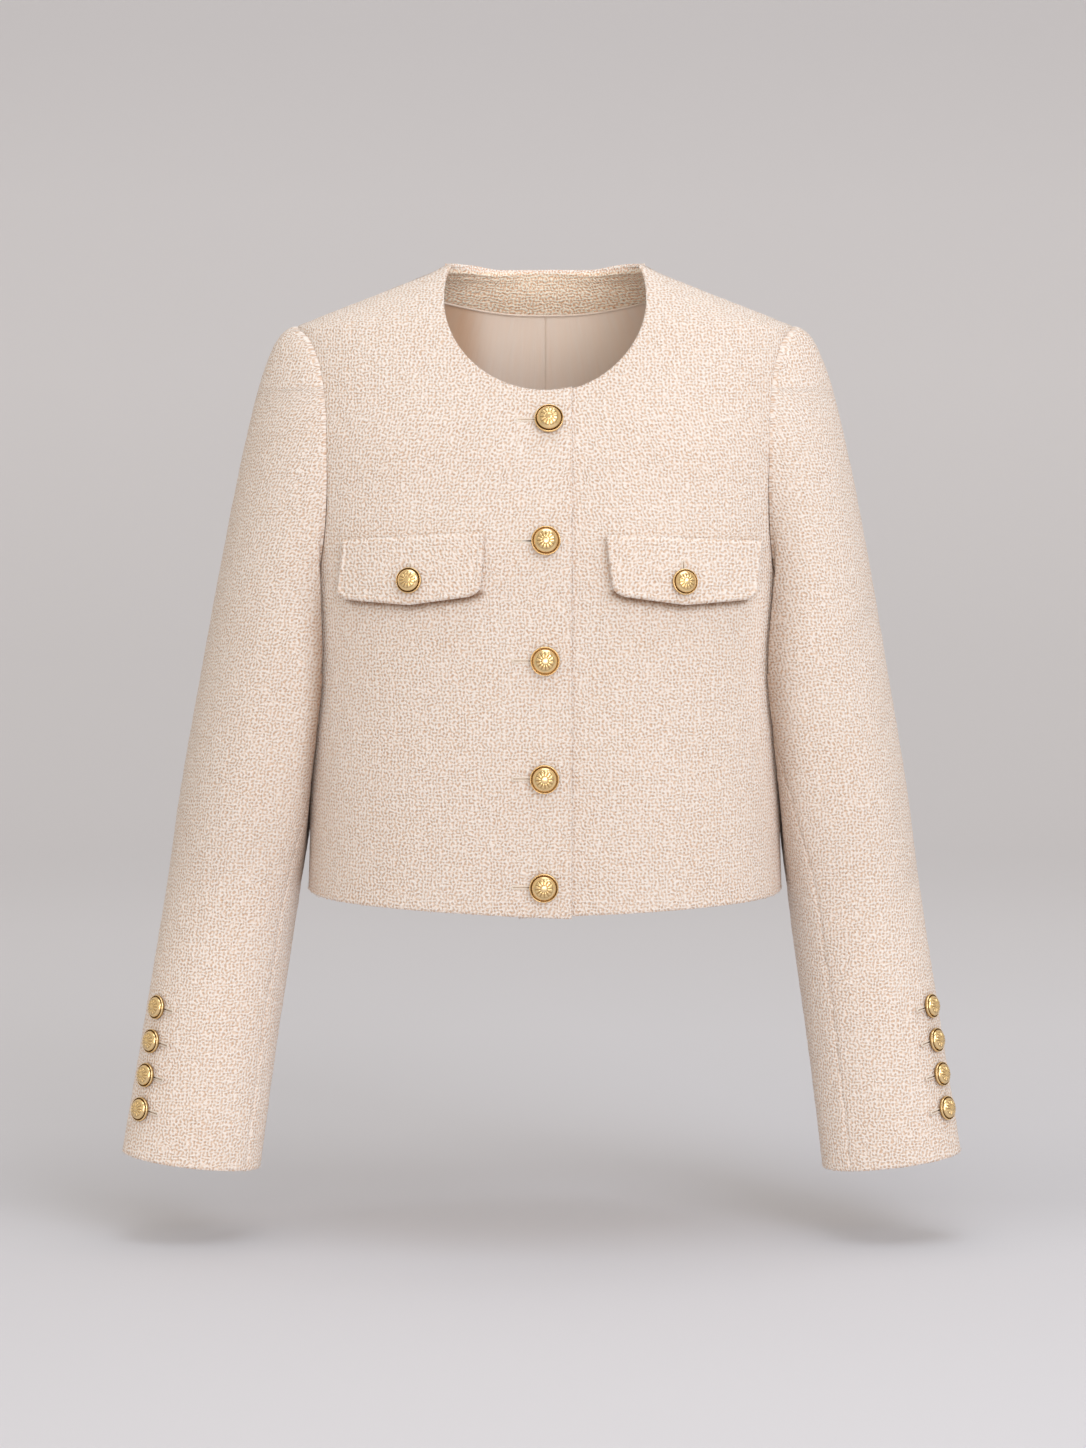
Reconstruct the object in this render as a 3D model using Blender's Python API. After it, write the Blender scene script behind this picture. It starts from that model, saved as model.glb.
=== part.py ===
"""Cropped collarless tweed jacket, buttoned up, hollow and hanging as it is worn.

Metres, +Z up. +X is the wearer's left and the front faces -Y. The origin is the middle of
the shoulder line, where the wearer carries the jacket. Each cut piece is a closed wall of
cloth, a seam gap away from the piece it is sewn to.

The body is a stack of rounded sections. A place on it is an angle and a height: the angle
is 0 at the side seam, 90 degrees at the centre front and -90 at the centre back. Both halves
share these places, and `side` (+1 the wearer's left, -1 the right) mirrors them, so most
functions give points as outward distance, y and z.
"""

import math

import bmesh
import bpy
import numpy as np
from mathutils import Matrix, Vector

# ---------------------------------------------------------------- driving dimensions
WALL = 0.0025            # tweed with its interlining
LINING_WALL = 0.0010
SEAM_GAP = 0.0003
LAYER_GAP = 0.0009       # between cloth layers that lie on each other
SLEEVE_CLEARANCE = 0.0020    # from the body's cloth below the armhole
CLEARANCE_EASE = 0.0055      # width over which the sleeve bends away to keep it

NECK_POINT_Z = 0.0234    # top of the shoulder seam, beside the neck
NECK_POINT_X = 0.0722
SHOULDER_RUN = 2.50      # sideways run of the shoulder seam for each metre it drops
SHOULDER_TIP_Z = -0.0190
SHOULDER_ROUNDING = 0.006
ARMPIT_Z = -0.2220
HEM_SIDE_Z = -0.4237
HEM_CENTRE_Z = -0.4344
HEM_BACK_Z = -0.4270
HEM_EASING = 0.25            # how level the hem is at the centre front

NECKLINE_HALF_WIDTH = 0.0716
NECKLINE_SIDE_Z = 0.0005     # height where the neckline runs straight up
NECKLINE_DROP = 0.0668       # from there down to the centre front
NECKLINE_TAPER = 0.0006      # how much the neck points lean in above that height
BUTTON_STAND = 0.0187        # how far each front runs past the centre line
UNDERLAP_START = 0.0207      # where the under front begins to rise to its neighbour's level
UNDERLAP_EASE = 0.0400       # and the width over which it does

SECTION_COLUMNS = ("height", "half_width", "front", "back", "squareness")
BODY_SECTIONS = (
    (0.0234, 0.1800, 0.0300, 0.0560, 2.0),
    (-0.0190, 0.1810, 0.0600, 0.0720, 2.4),
    (-0.0660, 0.1812, 0.0820, 0.0870, 2.5),
    (-0.1200, 0.1800, 0.1000, 0.0980, 2.5),
    (-0.2000, 0.1745, 0.1120, 0.1040, 2.5),
    (-0.3000, 0.1710, 0.1130, 0.0990, 2.4),
    (-0.3800, 0.1704, 0.1110, 0.1000, 2.4),
    (-0.4400, 0.1722, 0.1090, 0.1040, 2.4),
)

ARMHOLE_MIDDLE_Z = (SHOULDER_TIP_Z + ARMPIT_Z) / 2
ARMHOLE_HALF_HEIGHT = (SHOULDER_TIP_Z - ARMPIT_Z) / 2
ARMHOLE_SQUARENESS = 0.62
ARMHOLE_LEAN = 0.20          # how much fuller the lower half is than the upper
ARMHOLE_BACK_REACH = 0.0660
ARMHOLE_FRONT_REACH = {-1: 0.0640, 1: 0.0600}
ARMPIT_EASE = 0.0007         # extra seam gap under the arm
LOWER_ARMHOLE_END = -20      # turn up to which the sleeve keeps clear of the body
ARMHOLE_BLEND = 0.0040       # height over which it starts to
LEAST_EASE = 0.0005
FRONT_LEVEL_RISE = 0.0270    # how much higher the armpit's row starts at the centre front
BACK_LEVEL_RISE = 0.0200     # and at the centre back

SLEEVE_COLUMNS = ("height", "outer", "width", "depth", "forward", "inner_squareness")
SLEEVE_RINGS = (
    (-0.2620, 0.2470, 0.1160, 0.1420, -0.0015, 2.6),
    (-0.3600, 0.2648, 0.1020, 0.1260, 0.0010, 2.4),
    (-0.4200, 0.2735, 0.0960, 0.1080, 0.0050, 2.2),
    (-0.5200, 0.2895, 0.0970, 0.0860, 0.0170, 2.0),
    (-0.6187, 0.3060, 0.1004, 0.0700, 0.0300, 2.0),
)
OUTER_SQUARENESS = 1.92
SLEEVE_SWING = {-1: 0.0, 1: 0.0127}      # how much closer to the body it hangs, for each metre
RING_TILT = math.radians(7.0)
CAP_START = 0.24                          # tangent lengths of the cap, as shares of its span
CAP_END_LOW = 0.75
CAP_END_TOP = 2.50
CAP_FLARE = 0.26                          # how much the cap leaves its seam forward or back
CAP_DROOP = 0.02                          # and downwards
CAP_AIM = 0.0200                          # the cap arrives along this much of the tube below it
CAP_CLEAR_ROWS = 3                        # share of the cap, as 1 / n, over which it moves clear

SEAM_COLUMNS = ("height", "front_seam", "back_seam")
SLEEVE_SEAMS = {
    -1: (
        (-0.2620, -46.0, 118.0), (-0.4100, -50.0, 108.0),
        (-0.5000, -55.0, 100.0), (-0.6187, -65.0, 88.0),
    ),
    1: (
        (-0.2620, -36.0, 120.0), (-0.4100, -34.0, 116.0),
        (-0.5000, -40.0, 110.0), (-0.6187, -51.0, 102.0),
    ),
}

# The mesh of the pieces
ARMHOLE_STEPS = 12           # from the armpit to the shoulder tip, front or back
LOWER_STEPS = 7              # rows below the armpit
LAP_STEPS = 5                # rows between the armpit row and the neckline corner
BACK_NECK_STEPS = 6          # rows that start on the back neck
PANEL_STEPS = 11             # columns across half the body
UPPER_SLEEVE_STEPS = 11      # columns of the upper sleeve; the under sleeve has the rest
SLEEVE_STEPS = 2 * ARMHOLE_STEPS
FRONT_SEAM_TURN = -45        # where the sleeve's front seam starts on the armhole
CAP_STEPS = 8
TUBE_STEPS = 9
PATH_SAMPLES = 120
CLOTH_SMOOTH_ANGLE = 50.0    # edges sharper than this many degrees stay sharp
PROBE = 0.002                # step that slopes are measured over, in metres or radians

# Neck facing and lining
INNER_GAP = 0.0020           # from the outer cloth's flat facets to what lines it
FACING_WALL = 0.0020
FACING_TOP_GAP = 0.0008
FACING_CENTRE_Z = -0.0058
FACING_SHOULDER_Z = 0.0140
FACING_CURVE = 3.15
LINING_BOTTOM_Z = -0.4100
LINING_INSET = 0.0030        # from the armhole and side seams
LINING_SHOULDER_DROP = 0.0220    # from the facing down to where the lining meets the armhole's top
FACING_STEPS = 20
LINING_STEPS = 8
LINING_SIDE_ROWS = 5

# Pocket flaps, seen from the front: corners as outward distance and height
FLAP_WALL = 0.0036
FLAP_STANDOFF = 0.0060       # at the free edge
FLAPS = {
    -1: {
        "top_in": (0.0412, -0.1655), "top_out": (0.1395, -0.1712),
        "bottom_in": (0.0445, -0.2083), "bottom_out": (0.1405, -0.2118),
    },
    1: {
        "top_in": (0.0414, -0.1677), "top_out": (0.1500, -0.1718),
        "bottom_in": (0.0465, -0.2083), "bottom_out": (0.1430, -0.2118),
    },
}
FLAP_STEPS_ACROSS = 12
FLAP_STEPS_DOWN = 5
FLAP_POINT_DROP = 0.0052
FLAP_CORNER_RADIUS = 0.0080
FLAP_CORNER_RISE = 0.0044    # how much the rounded corner lies above the square one

# Buttons: turned profiles as radius and height above the cloth, both per unit radius
BUTTON_PROFILE = (
    (0.34, 0.00), (0.34, 0.16), (0.92, 0.18), (1.00, 0.30), (0.93, 0.42), (0.80, 0.40), (0.50, 0.56),
)
BUTTON_TOP = 0.62
BUTTON_GAP = 0.0005
BUTTON_SMOOTH_ANGLE = 60.0
FRONT_BUTTON_RADIUS = 0.0103
FRONT_BUTTON_SIDES = 14
POCKET_BUTTON_RADIUS = 0.0092
POCKET_BUTTON_SIDES = 12
CUFF_BUTTON_RADIUS = 0.0088
CUFF_BUTTON_SIDES = 10
FRONT_BUTTONS = (  # sideways place, height
    (0.0027, -0.0874), (0.0006, -0.1713), (0.0, -0.2542), (-0.0004, -0.3361), (-0.0008, -0.4121),
)
POCKET_BUTTONS = {-1: (0.0918, -0.1988), 1: (0.0942, -0.1998)}    # outwards, height
CUFF_BUTTON_TOP_Z = -0.5110
CUFF_BUTTON_PITCH = 0.0243
CUFF_BUTTONS = 4
CUFF_BUTTON_ANGLES = {-1: (55.0, 59.5), 1: (60.5, 64.5)}

COLOURS = {  # linear colour, roughness, metallic
    "tweed": ((0.80, 0.69, 0.57), 0.95, 0.0),
    "facing_tweed": ((0.70, 0.57, 0.44), 0.95, 0.0),
    "satin_lining": ((0.66, 0.52, 0.42), 0.45, 0.0),
    "gold": ((0.78, 0.58, 0.22), 0.28, 1.0),
}
SIDE_NAMES = {-1: "right", 1: "left"}


# ---------------------------------------------------------------- smooth tables
def smooth_between(xs, ys, x):
    """Values at x of a smooth curve through the table that never overshoots its rows."""
    xs = np.asarray(xs, float)
    ys = np.asarray(ys, float)
    if xs[0] > xs[-1]:
        xs = xs[::-1]
        ys = ys[::-1]
    steps = np.diff(xs)
    rises = np.diff(ys) / steps
    slopes = np.concatenate(([rises[0]], np.zeros(len(xs) - 2), [rises[-1]]))
    for i in range(1, len(xs) - 1):
        if rises[i - 1] * rises[i] > 0:
            slopes[i] = 2 * rises[i - 1] * rises[i] / (rises[i - 1] + rises[i])
    x = np.clip(x, xs[0], xs[-1])
    k = np.clip(np.searchsorted(xs, x) - 1, 0, len(steps) - 1)
    t = (x - xs[k]) / steps[k]
    return (
        ys[k] * (1 + 2 * t) * (1 - t) ** 2
        + slopes[k] * steps[k] * t * (1 - t) ** 2
        + ys[k + 1] * t * t * (3 - 2 * t)
        + slopes[k + 1] * steps[k] * t * t * (t - 1)
    )


def table_at(columns, rows, height):
    """Every named column of a table at this height."""
    heights = [row[0] for row in rows]
    return {
        name: smooth_between(heights, [row[i] for row in rows], height)
        for i, name in enumerate(columns)
        if i > 0
    }


def soft_minimum(a, b, width):
    h = np.clip(0.5 + 0.5 * (b - a) / width, 0, 1)
    return b + (a - b) * h - width * h * (1 - h)


def soft_maximum(a, b, width):
    return -soft_minimum(-a, -b, width)


def ease(t):
    t = np.clip(t, 0, 1)
    return t * t * (3 - 2 * t)


def rounded_radius(angle, across, along, squareness):
    """Radius of a rounded section at this angle (radians) from its first half axis."""
    return (
        (np.abs(np.cos(angle)) / across) ** squareness + (np.abs(np.sin(angle)) / along) ** squareness
    ) ** (-1 / squareness)


# ---------------------------------------------------------------- the body's form
def body_section(height):
    section = table_at(SECTION_COLUMNS, BODY_SECTIONS, height)
    ridge = NECK_POINT_X + (NECK_POINT_Z - height) * SHOULDER_RUN
    section["half_width"] = soft_minimum(ridge, section["half_width"], SHOULDER_ROUNDING)
    return section


def body_point(angle, height, depth=0.0):
    """Points on the body, `depth` inside its outer face, as outward, y and z."""
    angle = np.asarray(angle, float)
    height = np.asarray(height, float) + 0 * angle
    section = body_section(height)
    along = np.where(np.sin(angle) >= 0, section["front"], section["back"])
    radius = rounded_radius(angle, section["half_width"], along, section["squareness"])
    point = np.stack([radius * np.cos(angle), -radius * np.sin(angle), height], -1)
    if np.all(np.asarray(depth) == 0):
        return point
    return point - np.asarray(depth)[..., None] * body_normal(angle, height)


def body_normal(angle, height):
    around = body_point(angle + PROBE, height) - body_point(angle - PROBE, height)
    upward = body_point(angle, height + PROBE) - body_point(angle, height - PROBE)
    normal = np.cross(upward, around)
    return normal / np.linalg.norm(normal, axis=-1, keepdims=True)


def body_outward(y, height):
    """Outward distance of the body's outer face where it passes this y and height."""
    section = body_section(height)
    along = np.where(y <= 0, section["front"], section["back"])
    share = np.clip(np.abs(y) / along, 0, 0.98)
    return section["half_width"] * (1 - share ** section["squareness"]) ** (1 / section["squareness"])


def front_angle(outward, height):
    """Angle of the front place this far out from the centre line."""
    section = body_section(height)
    share = np.clip(np.abs(outward) / section["half_width"], 0, 1)
    forward = section["front"] * (1 - share ** section["squareness"]) ** (1 / section["squareness"])
    return np.arctan2(forward, outward)


def armhole_point(side, turn):
    """Outward, y and z on the armhole seam; turn is -90 at the armpit and 90 at the tip."""
    turn = np.radians(turn)
    height = ARMHOLE_MIDDLE_Z + ARMHOLE_HALF_HEIGHT * np.sin(turn)
    reach = np.where(np.cos(turn) > 0, -ARMHOLE_FRONT_REACH[side], ARMHOLE_BACK_REACH)
    fullness = np.abs(np.cos(turn)) ** ARMHOLE_SQUARENESS * (1 - ARMHOLE_LEAN * np.sin(turn))
    y = reach * np.where(np.abs(np.cos(turn)) < 1e-9, 0, fullness)
    return np.stack([body_outward(y, height), y, height], -1)


def armhole_places(side, face):
    """Angle and height of the armhole seam's steps, armpit to tip; face is 1 front, -1 back."""
    turns = np.linspace(-90, 90, ARMHOLE_STEPS + 1)
    points = armhole_point(side, turns if face > 0 else 180 - turns)
    angles = np.arctan2(-points[:, 1], points[:, 0])
    angles[[0, -1]] = face * SEAM_GAP / 2 / points[[0, -1], 0]
    return angles, points[:, 2]


# ---------------------------------------------------------------- paths and grids
def even_places(angles, heights, steps):
    """Places a path over the body passes at even distances."""
    points = body_point(angles, heights)
    walked = np.concatenate(([0], np.cumsum(np.linalg.norm(np.diff(points, axis=0), axis=1))))
    wanted = np.linspace(0, walked[-1], steps + 1)
    return np.interp(wanted, walked, angles), np.interp(wanted, walked, heights)


def row_between(start, end, steps, easing=0.0):
    """Places from start to end, each an angle and a height; easing levels the row's start."""
    t = np.linspace(0, 1, PATH_SAMPLES)
    angles = start[0] + (end[0] - start[0]) * t
    heights = start[1] + (end[1] - start[1]) * t ** (1 + easing)
    return even_places(angles, heights, steps)


def grid_faces(rows, columns):
    faces = []
    for i in range(rows - 1):
        for j in range(columns - 1):
            first = i * columns + j
            faces.append((first, first + 1, first + columns + 1, first + columns))
    return faces


def mirrored(points, side):
    return points * np.array([side, 1, 1])


def neckline_path():
    """Angles and heights of the neckline from the edge of the button stand to the neck point."""
    start = math.asin(BUTTON_STAND / NECKLINE_HALF_WIDTH)
    turn = np.linspace(start, math.pi / 2, PATH_SAMPLES)
    outward = NECKLINE_HALF_WIDTH * np.sin(turn)
    heights = NECKLINE_SIDE_Z - NECKLINE_DROP * np.cos(turn)
    rise = np.linspace(0, 1, PATH_SAMPLES)[1:]
    outward = np.concatenate([outward, NECKLINE_HALF_WIDTH - NECKLINE_TAPER * rise**2])
    heights = np.concatenate([heights, NECKLINE_SIDE_Z + (NECK_POINT_Z - NECKLINE_SIDE_Z) * rise])
    return front_angle(outward, heights), heights


def front_rows(side):
    """Rows of places of one front, hem to shoulder seam, each from the centre outwards.

    Both fronts run past the centre line, so a row starts at a negative outward distance, and
    the neckline is followed across the centre as well.
    """
    seam_angles, seam_heights = armhole_places(side, 1)
    rows = []
    armpit_start_z = ARMPIT_Z + FRONT_LEVEL_RISE
    for k in range(LOWER_STEPS + 1):
        share = k / LOWER_STEPS
        start_z = HEM_CENTRE_Z + (armpit_start_z - HEM_CENTRE_Z) * share
        end_z = HEM_SIDE_Z + (ARMPIT_Z - HEM_SIDE_Z) * share
        start = (front_angle(-BUTTON_STAND, start_z), start_z)
        end = (SEAM_GAP / 2 / body_section(end_z)["half_width"], end_z)
        rows.append(row_between(start, end, PANEL_STEPS, easing=HEM_EASING * (1 - share)))
    neck_angles, neck_heights = neckline_path()
    # The neckline crosses the centre and meets the far edge of the button stand.
    corner_z = neck_heights[0]
    crossing = np.linspace(-1, 1, 2 * PATH_SAMPLES // 3)[:-1] * BUTTON_STAND
    crossing_z = NECKLINE_SIDE_Z - NECKLINE_DROP * np.sqrt(1 - (crossing / NECKLINE_HALF_WIDTH) ** 2)
    neck_angles = np.concatenate([front_angle(crossing, crossing_z), neck_angles])
    neck_heights = np.concatenate([crossing_z, neck_heights])
    neck = even_places(neck_angles, neck_heights, ARMHOLE_STEPS - LAP_STEPS)
    lap_z = np.linspace(armpit_start_z, corner_z, LAP_STEPS + 1)
    starts = [(front_angle(-BUTTON_STAND, z), z) for z in lap_z[1:-1]]
    starts += list(zip(*neck))
    starts[-1] = (seam_angles[-1], NECK_POINT_Z)
    for k, start in enumerate(starts):
        end = (seam_angles[k + 1], seam_heights[k + 1])
        rows.append(row_between(start, end, PANEL_STEPS))
    return rows


def back_rows(side):
    """Rows of places of half the back, hem to shoulder seam, each from the centre outwards."""
    seam_angles, seam_heights = armhole_places(side, -1)
    rows = []
    armpit_start_z = ARMPIT_Z + BACK_LEVEL_RISE
    for k in range(LOWER_STEPS + 1):
        share = k / LOWER_STEPS
        start_z = HEM_BACK_Z + (armpit_start_z - HEM_BACK_Z) * share
        end_z = HEM_SIDE_Z + (ARMPIT_Z - HEM_SIDE_Z) * share
        end = (-SEAM_GAP / 2 / body_section(end_z)["half_width"], end_z)
        rows.append(row_between((-math.pi / 2, start_z), end, PANEL_STEPS))
    centre_z = np.linspace(armpit_start_z, NECK_POINT_Z, ARMHOLE_STEPS - BACK_NECK_STEPS + 1)
    starts = [(-math.pi / 2, z) for z in centre_z[1:]]
    neck_turn = np.linspace(-math.pi / 2, seam_angles[-1], PATH_SAMPLES)
    neck = even_places(neck_turn, np.full(PATH_SAMPLES, NECK_POINT_Z), BACK_NECK_STEPS)
    starts += list(zip(*neck))[1:]
    for k, start in enumerate(starts):
        end = (seam_angles[k + 1], seam_heights[k + 1])
        rows.append(row_between(start, end, PANEL_STEPS))
    return rows


def underlap_depth(outward):
    """How far the under front lies inside the body's face at this outward distance."""
    return (WALL + LAYER_GAP) * (1 - ease((outward - UNDERLAP_START) / UNDERLAP_EASE))


def rows_to_points(rows, side, depth, under=False):
    angles = np.array([row[0] for row in rows])
    heights = np.array([row[1] for row in rows])
    if under:
        depth = depth + underlap_depth(body_point(angles, heights)[..., 0])
    else:
        depth = np.full(angles.shape, float(depth))
    return mirrored(body_point(angles, heights, depth), side)


# ---------------------------------------------------------------- solids
def make_material(name):
    colour, roughness, metallic = COLOURS[name]
    material = bpy.data.materials.new(name)
    material.use_nodes = True
    shader = material.node_tree.nodes["Principled BSDF"]
    shader.inputs["Base Color"].default_value = (*colour, 1.0)
    shader.inputs["Roughness"].default_value = roughness
    shader.inputs["Metallic"].default_value = metallic
    material.diffuse_color = (*colour, 1.0)
    return material


def add_mesh(name, points, faces, material, smooth_angle=CLOTH_SMOOTH_ANGLE):
    mesh = bpy.data.meshes.new(name)
    mesh.from_pydata([tuple(p) for p in points], [], faces)
    work = bmesh.new()
    work.from_mesh(mesh)
    bmesh.ops.recalc_face_normals(work, faces=work.faces)
    work.to_mesh(mesh)
    work.free()
    mesh.shade_smooth()
    mesh.set_sharp_from_angle(angle=math.radians(smooth_angle))
    mesh.materials.append(material)
    piece = bpy.data.objects.new(name, mesh)
    bpy.context.scene.collection.objects.link(piece)
    return piece


def weld(outer, inner, faces):
    """Join points that two grids share along a common edge."""
    seen = {}
    index = [seen.setdefault(tuple(np.round(p, 6)), len(seen)) for p in outer]
    keep = [index.index(i) for i in range(len(seen))]
    faces = [tuple(index[i] for i in face) for face in faces]
    return outer[keep], inner[keep], faces


def add_wall(name, outer, inner, faces, material):
    """A closed wall between an outer and an inner sheet of points with the same faces."""
    outer = np.reshape(outer, (-1, 3))
    inner = np.reshape(inner, (-1, 3))
    outer, inner, faces = weld(outer, inner, faces)
    count = len(outer)
    edges = {(a, b) for face in faces for a, b in zip(face, face[1:] + face[:1])}
    solid = list(faces)
    solid += [tuple(count + i for i in reversed(face)) for face in faces]
    for a, b in sorted(edges):
        if (b, a) in edges:
            continue
        # Cut edges that meet in a seam are split along the same diagonal on both pieces.
        if outer[a][2] < outer[b][2]:
            solid += [(b, a, count + b), (a, count + a, count + b)]
        else:
            solid += [(b, a, count + a), (b, count + a, count + b)]
    return add_mesh(name, np.concatenate([outer, inner]), solid, material)


def make_front(side, material):
    under = side == 1
    rows = front_rows(side)
    outer = rows_to_points(rows, side, 0.0, under)
    inner = rows_to_points(rows, side, WALL, under)
    faces = grid_faces(len(rows), PANEL_STEPS + 1)
    return add_wall(f"{SIDE_NAMES[side]}_front", outer, inner, faces, material)


def make_back(material):
    outer, inner, faces = [], [], []
    for side in (-1, 1):
        rows = back_rows(side)
        start = len(outer) * len(rows) * (PANEL_STEPS + 1)
        half = grid_faces(len(rows), PANEL_STEPS + 1)
        if side == 1:
            half = [face[::-1] for face in half]
        faces += [tuple(start + i for i in face) for face in half]
        outer.append(rows_to_points(rows, side, 0.0))
        inner.append(rows_to_points(rows, side, WALL))
    return add_wall("back", np.array(outer), np.array(inner), faces, material)


# ---------------------------------------------------------------- sleeves
def sleeve_point(side, turn, height):
    """Points of the sleeve below the cap; turn is 0 at its front and 90 at its outer side."""
    turn = np.radians(turn)
    ring = table_at(SLEEVE_COLUMNS, SLEEVE_RINGS, height)
    outer = ring["outer"] - SLEEVE_SWING[side] * (ARMPIT_Z - height)
    squareness = np.where(np.sin(turn) < 0, ring["inner_squareness"], OUTER_SQUARENESS)
    radius = rounded_radius(turn, ring["depth"] / 2, ring["width"] / 2, squareness)
    across = radius * np.sin(turn)
    outward = outer - ring["width"] / 2 + across * math.cos(RING_TILT)
    y = -ring["forward"] - radius * np.cos(turn)
    z = height + across * math.sin(RING_TILT)
    return clear_of_body(side, np.stack([outward, y, z], -1))


def clear_of_body(side, points, share=1.0):
    """Move sleeve points that would touch the body outwards until they clear it.

    The body's cloth is there only below the lower half of the armhole seam.
    """
    outward, y, z = np.moveaxis(points, -1, 0)
    limit = body_outward(y, z) + SLEEVE_CLEARANCE * share
    pushed = soft_maximum(outward, limit, LEAST_EASE + CLEARANCE_EASE * share)
    lower_half = np.linspace(-90, LOWER_ARMHOLE_END, PATH_SAMPLES // 3)
    front = armhole_point(side, lower_half)
    back = armhole_point(side, 180 - lower_half)
    edge = np.where(
        y <= 0,
        np.interp(np.abs(y), -front[:, 1], front[:, 2]),
        np.interp(np.abs(y), back[:, 1], back[:, 2]),
    )
    below = ease((edge - z) / ARMHOLE_BLEND + 0.5)
    return np.stack([outward + (pushed - outward) * below, y, z], -1)


def sleeve_turns(side, height):
    """Ring places of the sleeve's columns, once round from the front seam."""
    seams = table_at(SEAM_COLUMNS, SLEEVE_SEAMS[side], height)
    front, back = seams["front_seam"], seams["back_seam"]
    upper = np.linspace(front, back, UPPER_SLEEVE_STEPS + 1)
    under = np.linspace(back, front + 360, SLEEVE_STEPS - UPPER_SLEEVE_STEPS + 1)
    return np.concatenate([upper, under[1:-1]])


def sleeve_grid(side):
    """Rows of points round the sleeve, armhole to cuff, as outward, y and z."""
    biceps_z = SLEEVE_RINGS[0][0]
    cuff_z = SLEEVE_RINGS[-1][0]
    turns = FRONT_SEAM_TURN + 180 / ARMHOLE_STEPS * np.arange(SLEEVE_STEPS)
    start = armhole_point(side, turns)
    end = sleeve_point(side, sleeve_turns(side, biceps_z), biceps_z)
    below = sleeve_point(side, sleeve_turns(side, biceps_z), biceps_z - CAP_AIM)
    radians = np.radians(turns)
    leave = np.stack(
        [np.ones_like(radians), -CAP_FLARE * np.cos(radians), np.full_like(radians, -CAP_DROOP)], -1
    )
    leave /= np.linalg.norm(leave, axis=1, keepdims=True)
    start = start + (SEAM_GAP + ARMPIT_EASE * np.clip(-np.sin(radians), 0, 1)[:, None]) * leave
    span = np.linalg.norm(end - start, axis=1, keepdims=True)
    arrive = below - end
    arrive /= np.linalg.norm(arrive, axis=1, keepdims=True)
    end_length = CAP_END_LOW + (CAP_END_TOP - CAP_END_LOW) * np.clip(np.sin(radians), 0, 1)[:, None]
    rows = []
    for k in range(CAP_STEPS + 1):
        t = k / CAP_STEPS
        row = (
            start * (1 + 2 * t) * (1 - t) ** 2
            + leave * span * CAP_START * t * (1 - t) ** 2
            + end * t * t * (3 - 2 * t)
            + arrive * span * end_length * t * t * (t - 1)
        )
        if 0 < k < CAP_STEPS:
            row = clear_of_body(side, row, ease(CAP_CLEAR_ROWS * t))
        rows.append(row)
    for height in np.linspace(biceps_z, cuff_z, TUBE_STEPS + 1)[1:]:
        rows.append(sleeve_point(side, sleeve_turns(side, height), height))
    return np.array(rows)


def grid_normals(grid):
    """Outward normals of a grid that closes on itself along its second axis."""
    around = np.roll(grid, -1, axis=1) - np.roll(grid, 1, axis=1)
    down = np.gradient(grid, axis=0)
    normal = np.cross(down, around)
    return normal / np.linalg.norm(normal, axis=-1, keepdims=True)


def make_sleeve(side, material):
    grid = sleeve_grid(side)
    inner = grid - WALL * grid_normals(grid)
    around = np.roll(grid, -1, axis=1) - np.roll(grid, 1, axis=1)
    around /= np.linalg.norm(around, axis=-1, keepdims=True)
    pieces = []
    cuts = (("upper_sleeve", 0, UPPER_SLEEVE_STEPS), ("under_sleeve", UPPER_SLEEVE_STEPS, SLEEVE_STEPS))
    for name, first, last in cuts:
        columns = [j % SLEEVE_STEPS for j in range(first, last + 1)]
        inset = np.zeros((1, len(columns), 1))
        inset[0, 0, 0] = SEAM_GAP / 2
        inset[0, -1, 0] = -SEAM_GAP / 2
        shift = inset * around[:, columns]
        faces = grid_faces(len(grid), len(columns))
        pieces.append(
            add_wall(
                f"{SIDE_NAMES[side]}_{name}",
                mirrored(grid[:, columns] + shift, side),
                mirrored(inner[:, columns] + shift, side),
                faces,
                material,
            )
        )
    return pieces


# ---------------------------------------------------------------- neck facing and lining
def facing_edge(angle):
    """Height of the facing's lower edge at this angle."""
    return FACING_CENTRE_Z + (FACING_SHOULDER_Z - FACING_CENTRE_Z) * np.abs(np.cos(angle)) ** FACING_CURVE


def make_facing(material):
    end = SEAM_GAP / NECK_POINT_X
    angles = np.linspace(-math.pi + end, -end, FACING_STEPS + 1)
    low = facing_edge(angles)
    high = NECK_POINT_Z - FACING_TOP_GAP
    rows = [(angles, low + (high - low) * share) for share in (0.0, 0.5, 1.0)]
    near = WALL + INNER_GAP
    outer = rows_to_points(rows, 1, near)
    inner = rows_to_points(rows, 1, near + FACING_WALL)
    faces = grid_faces(len(rows), FACING_STEPS + 1)
    return add_wall("back_neck_facing", outer, inner, faces, material)


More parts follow.
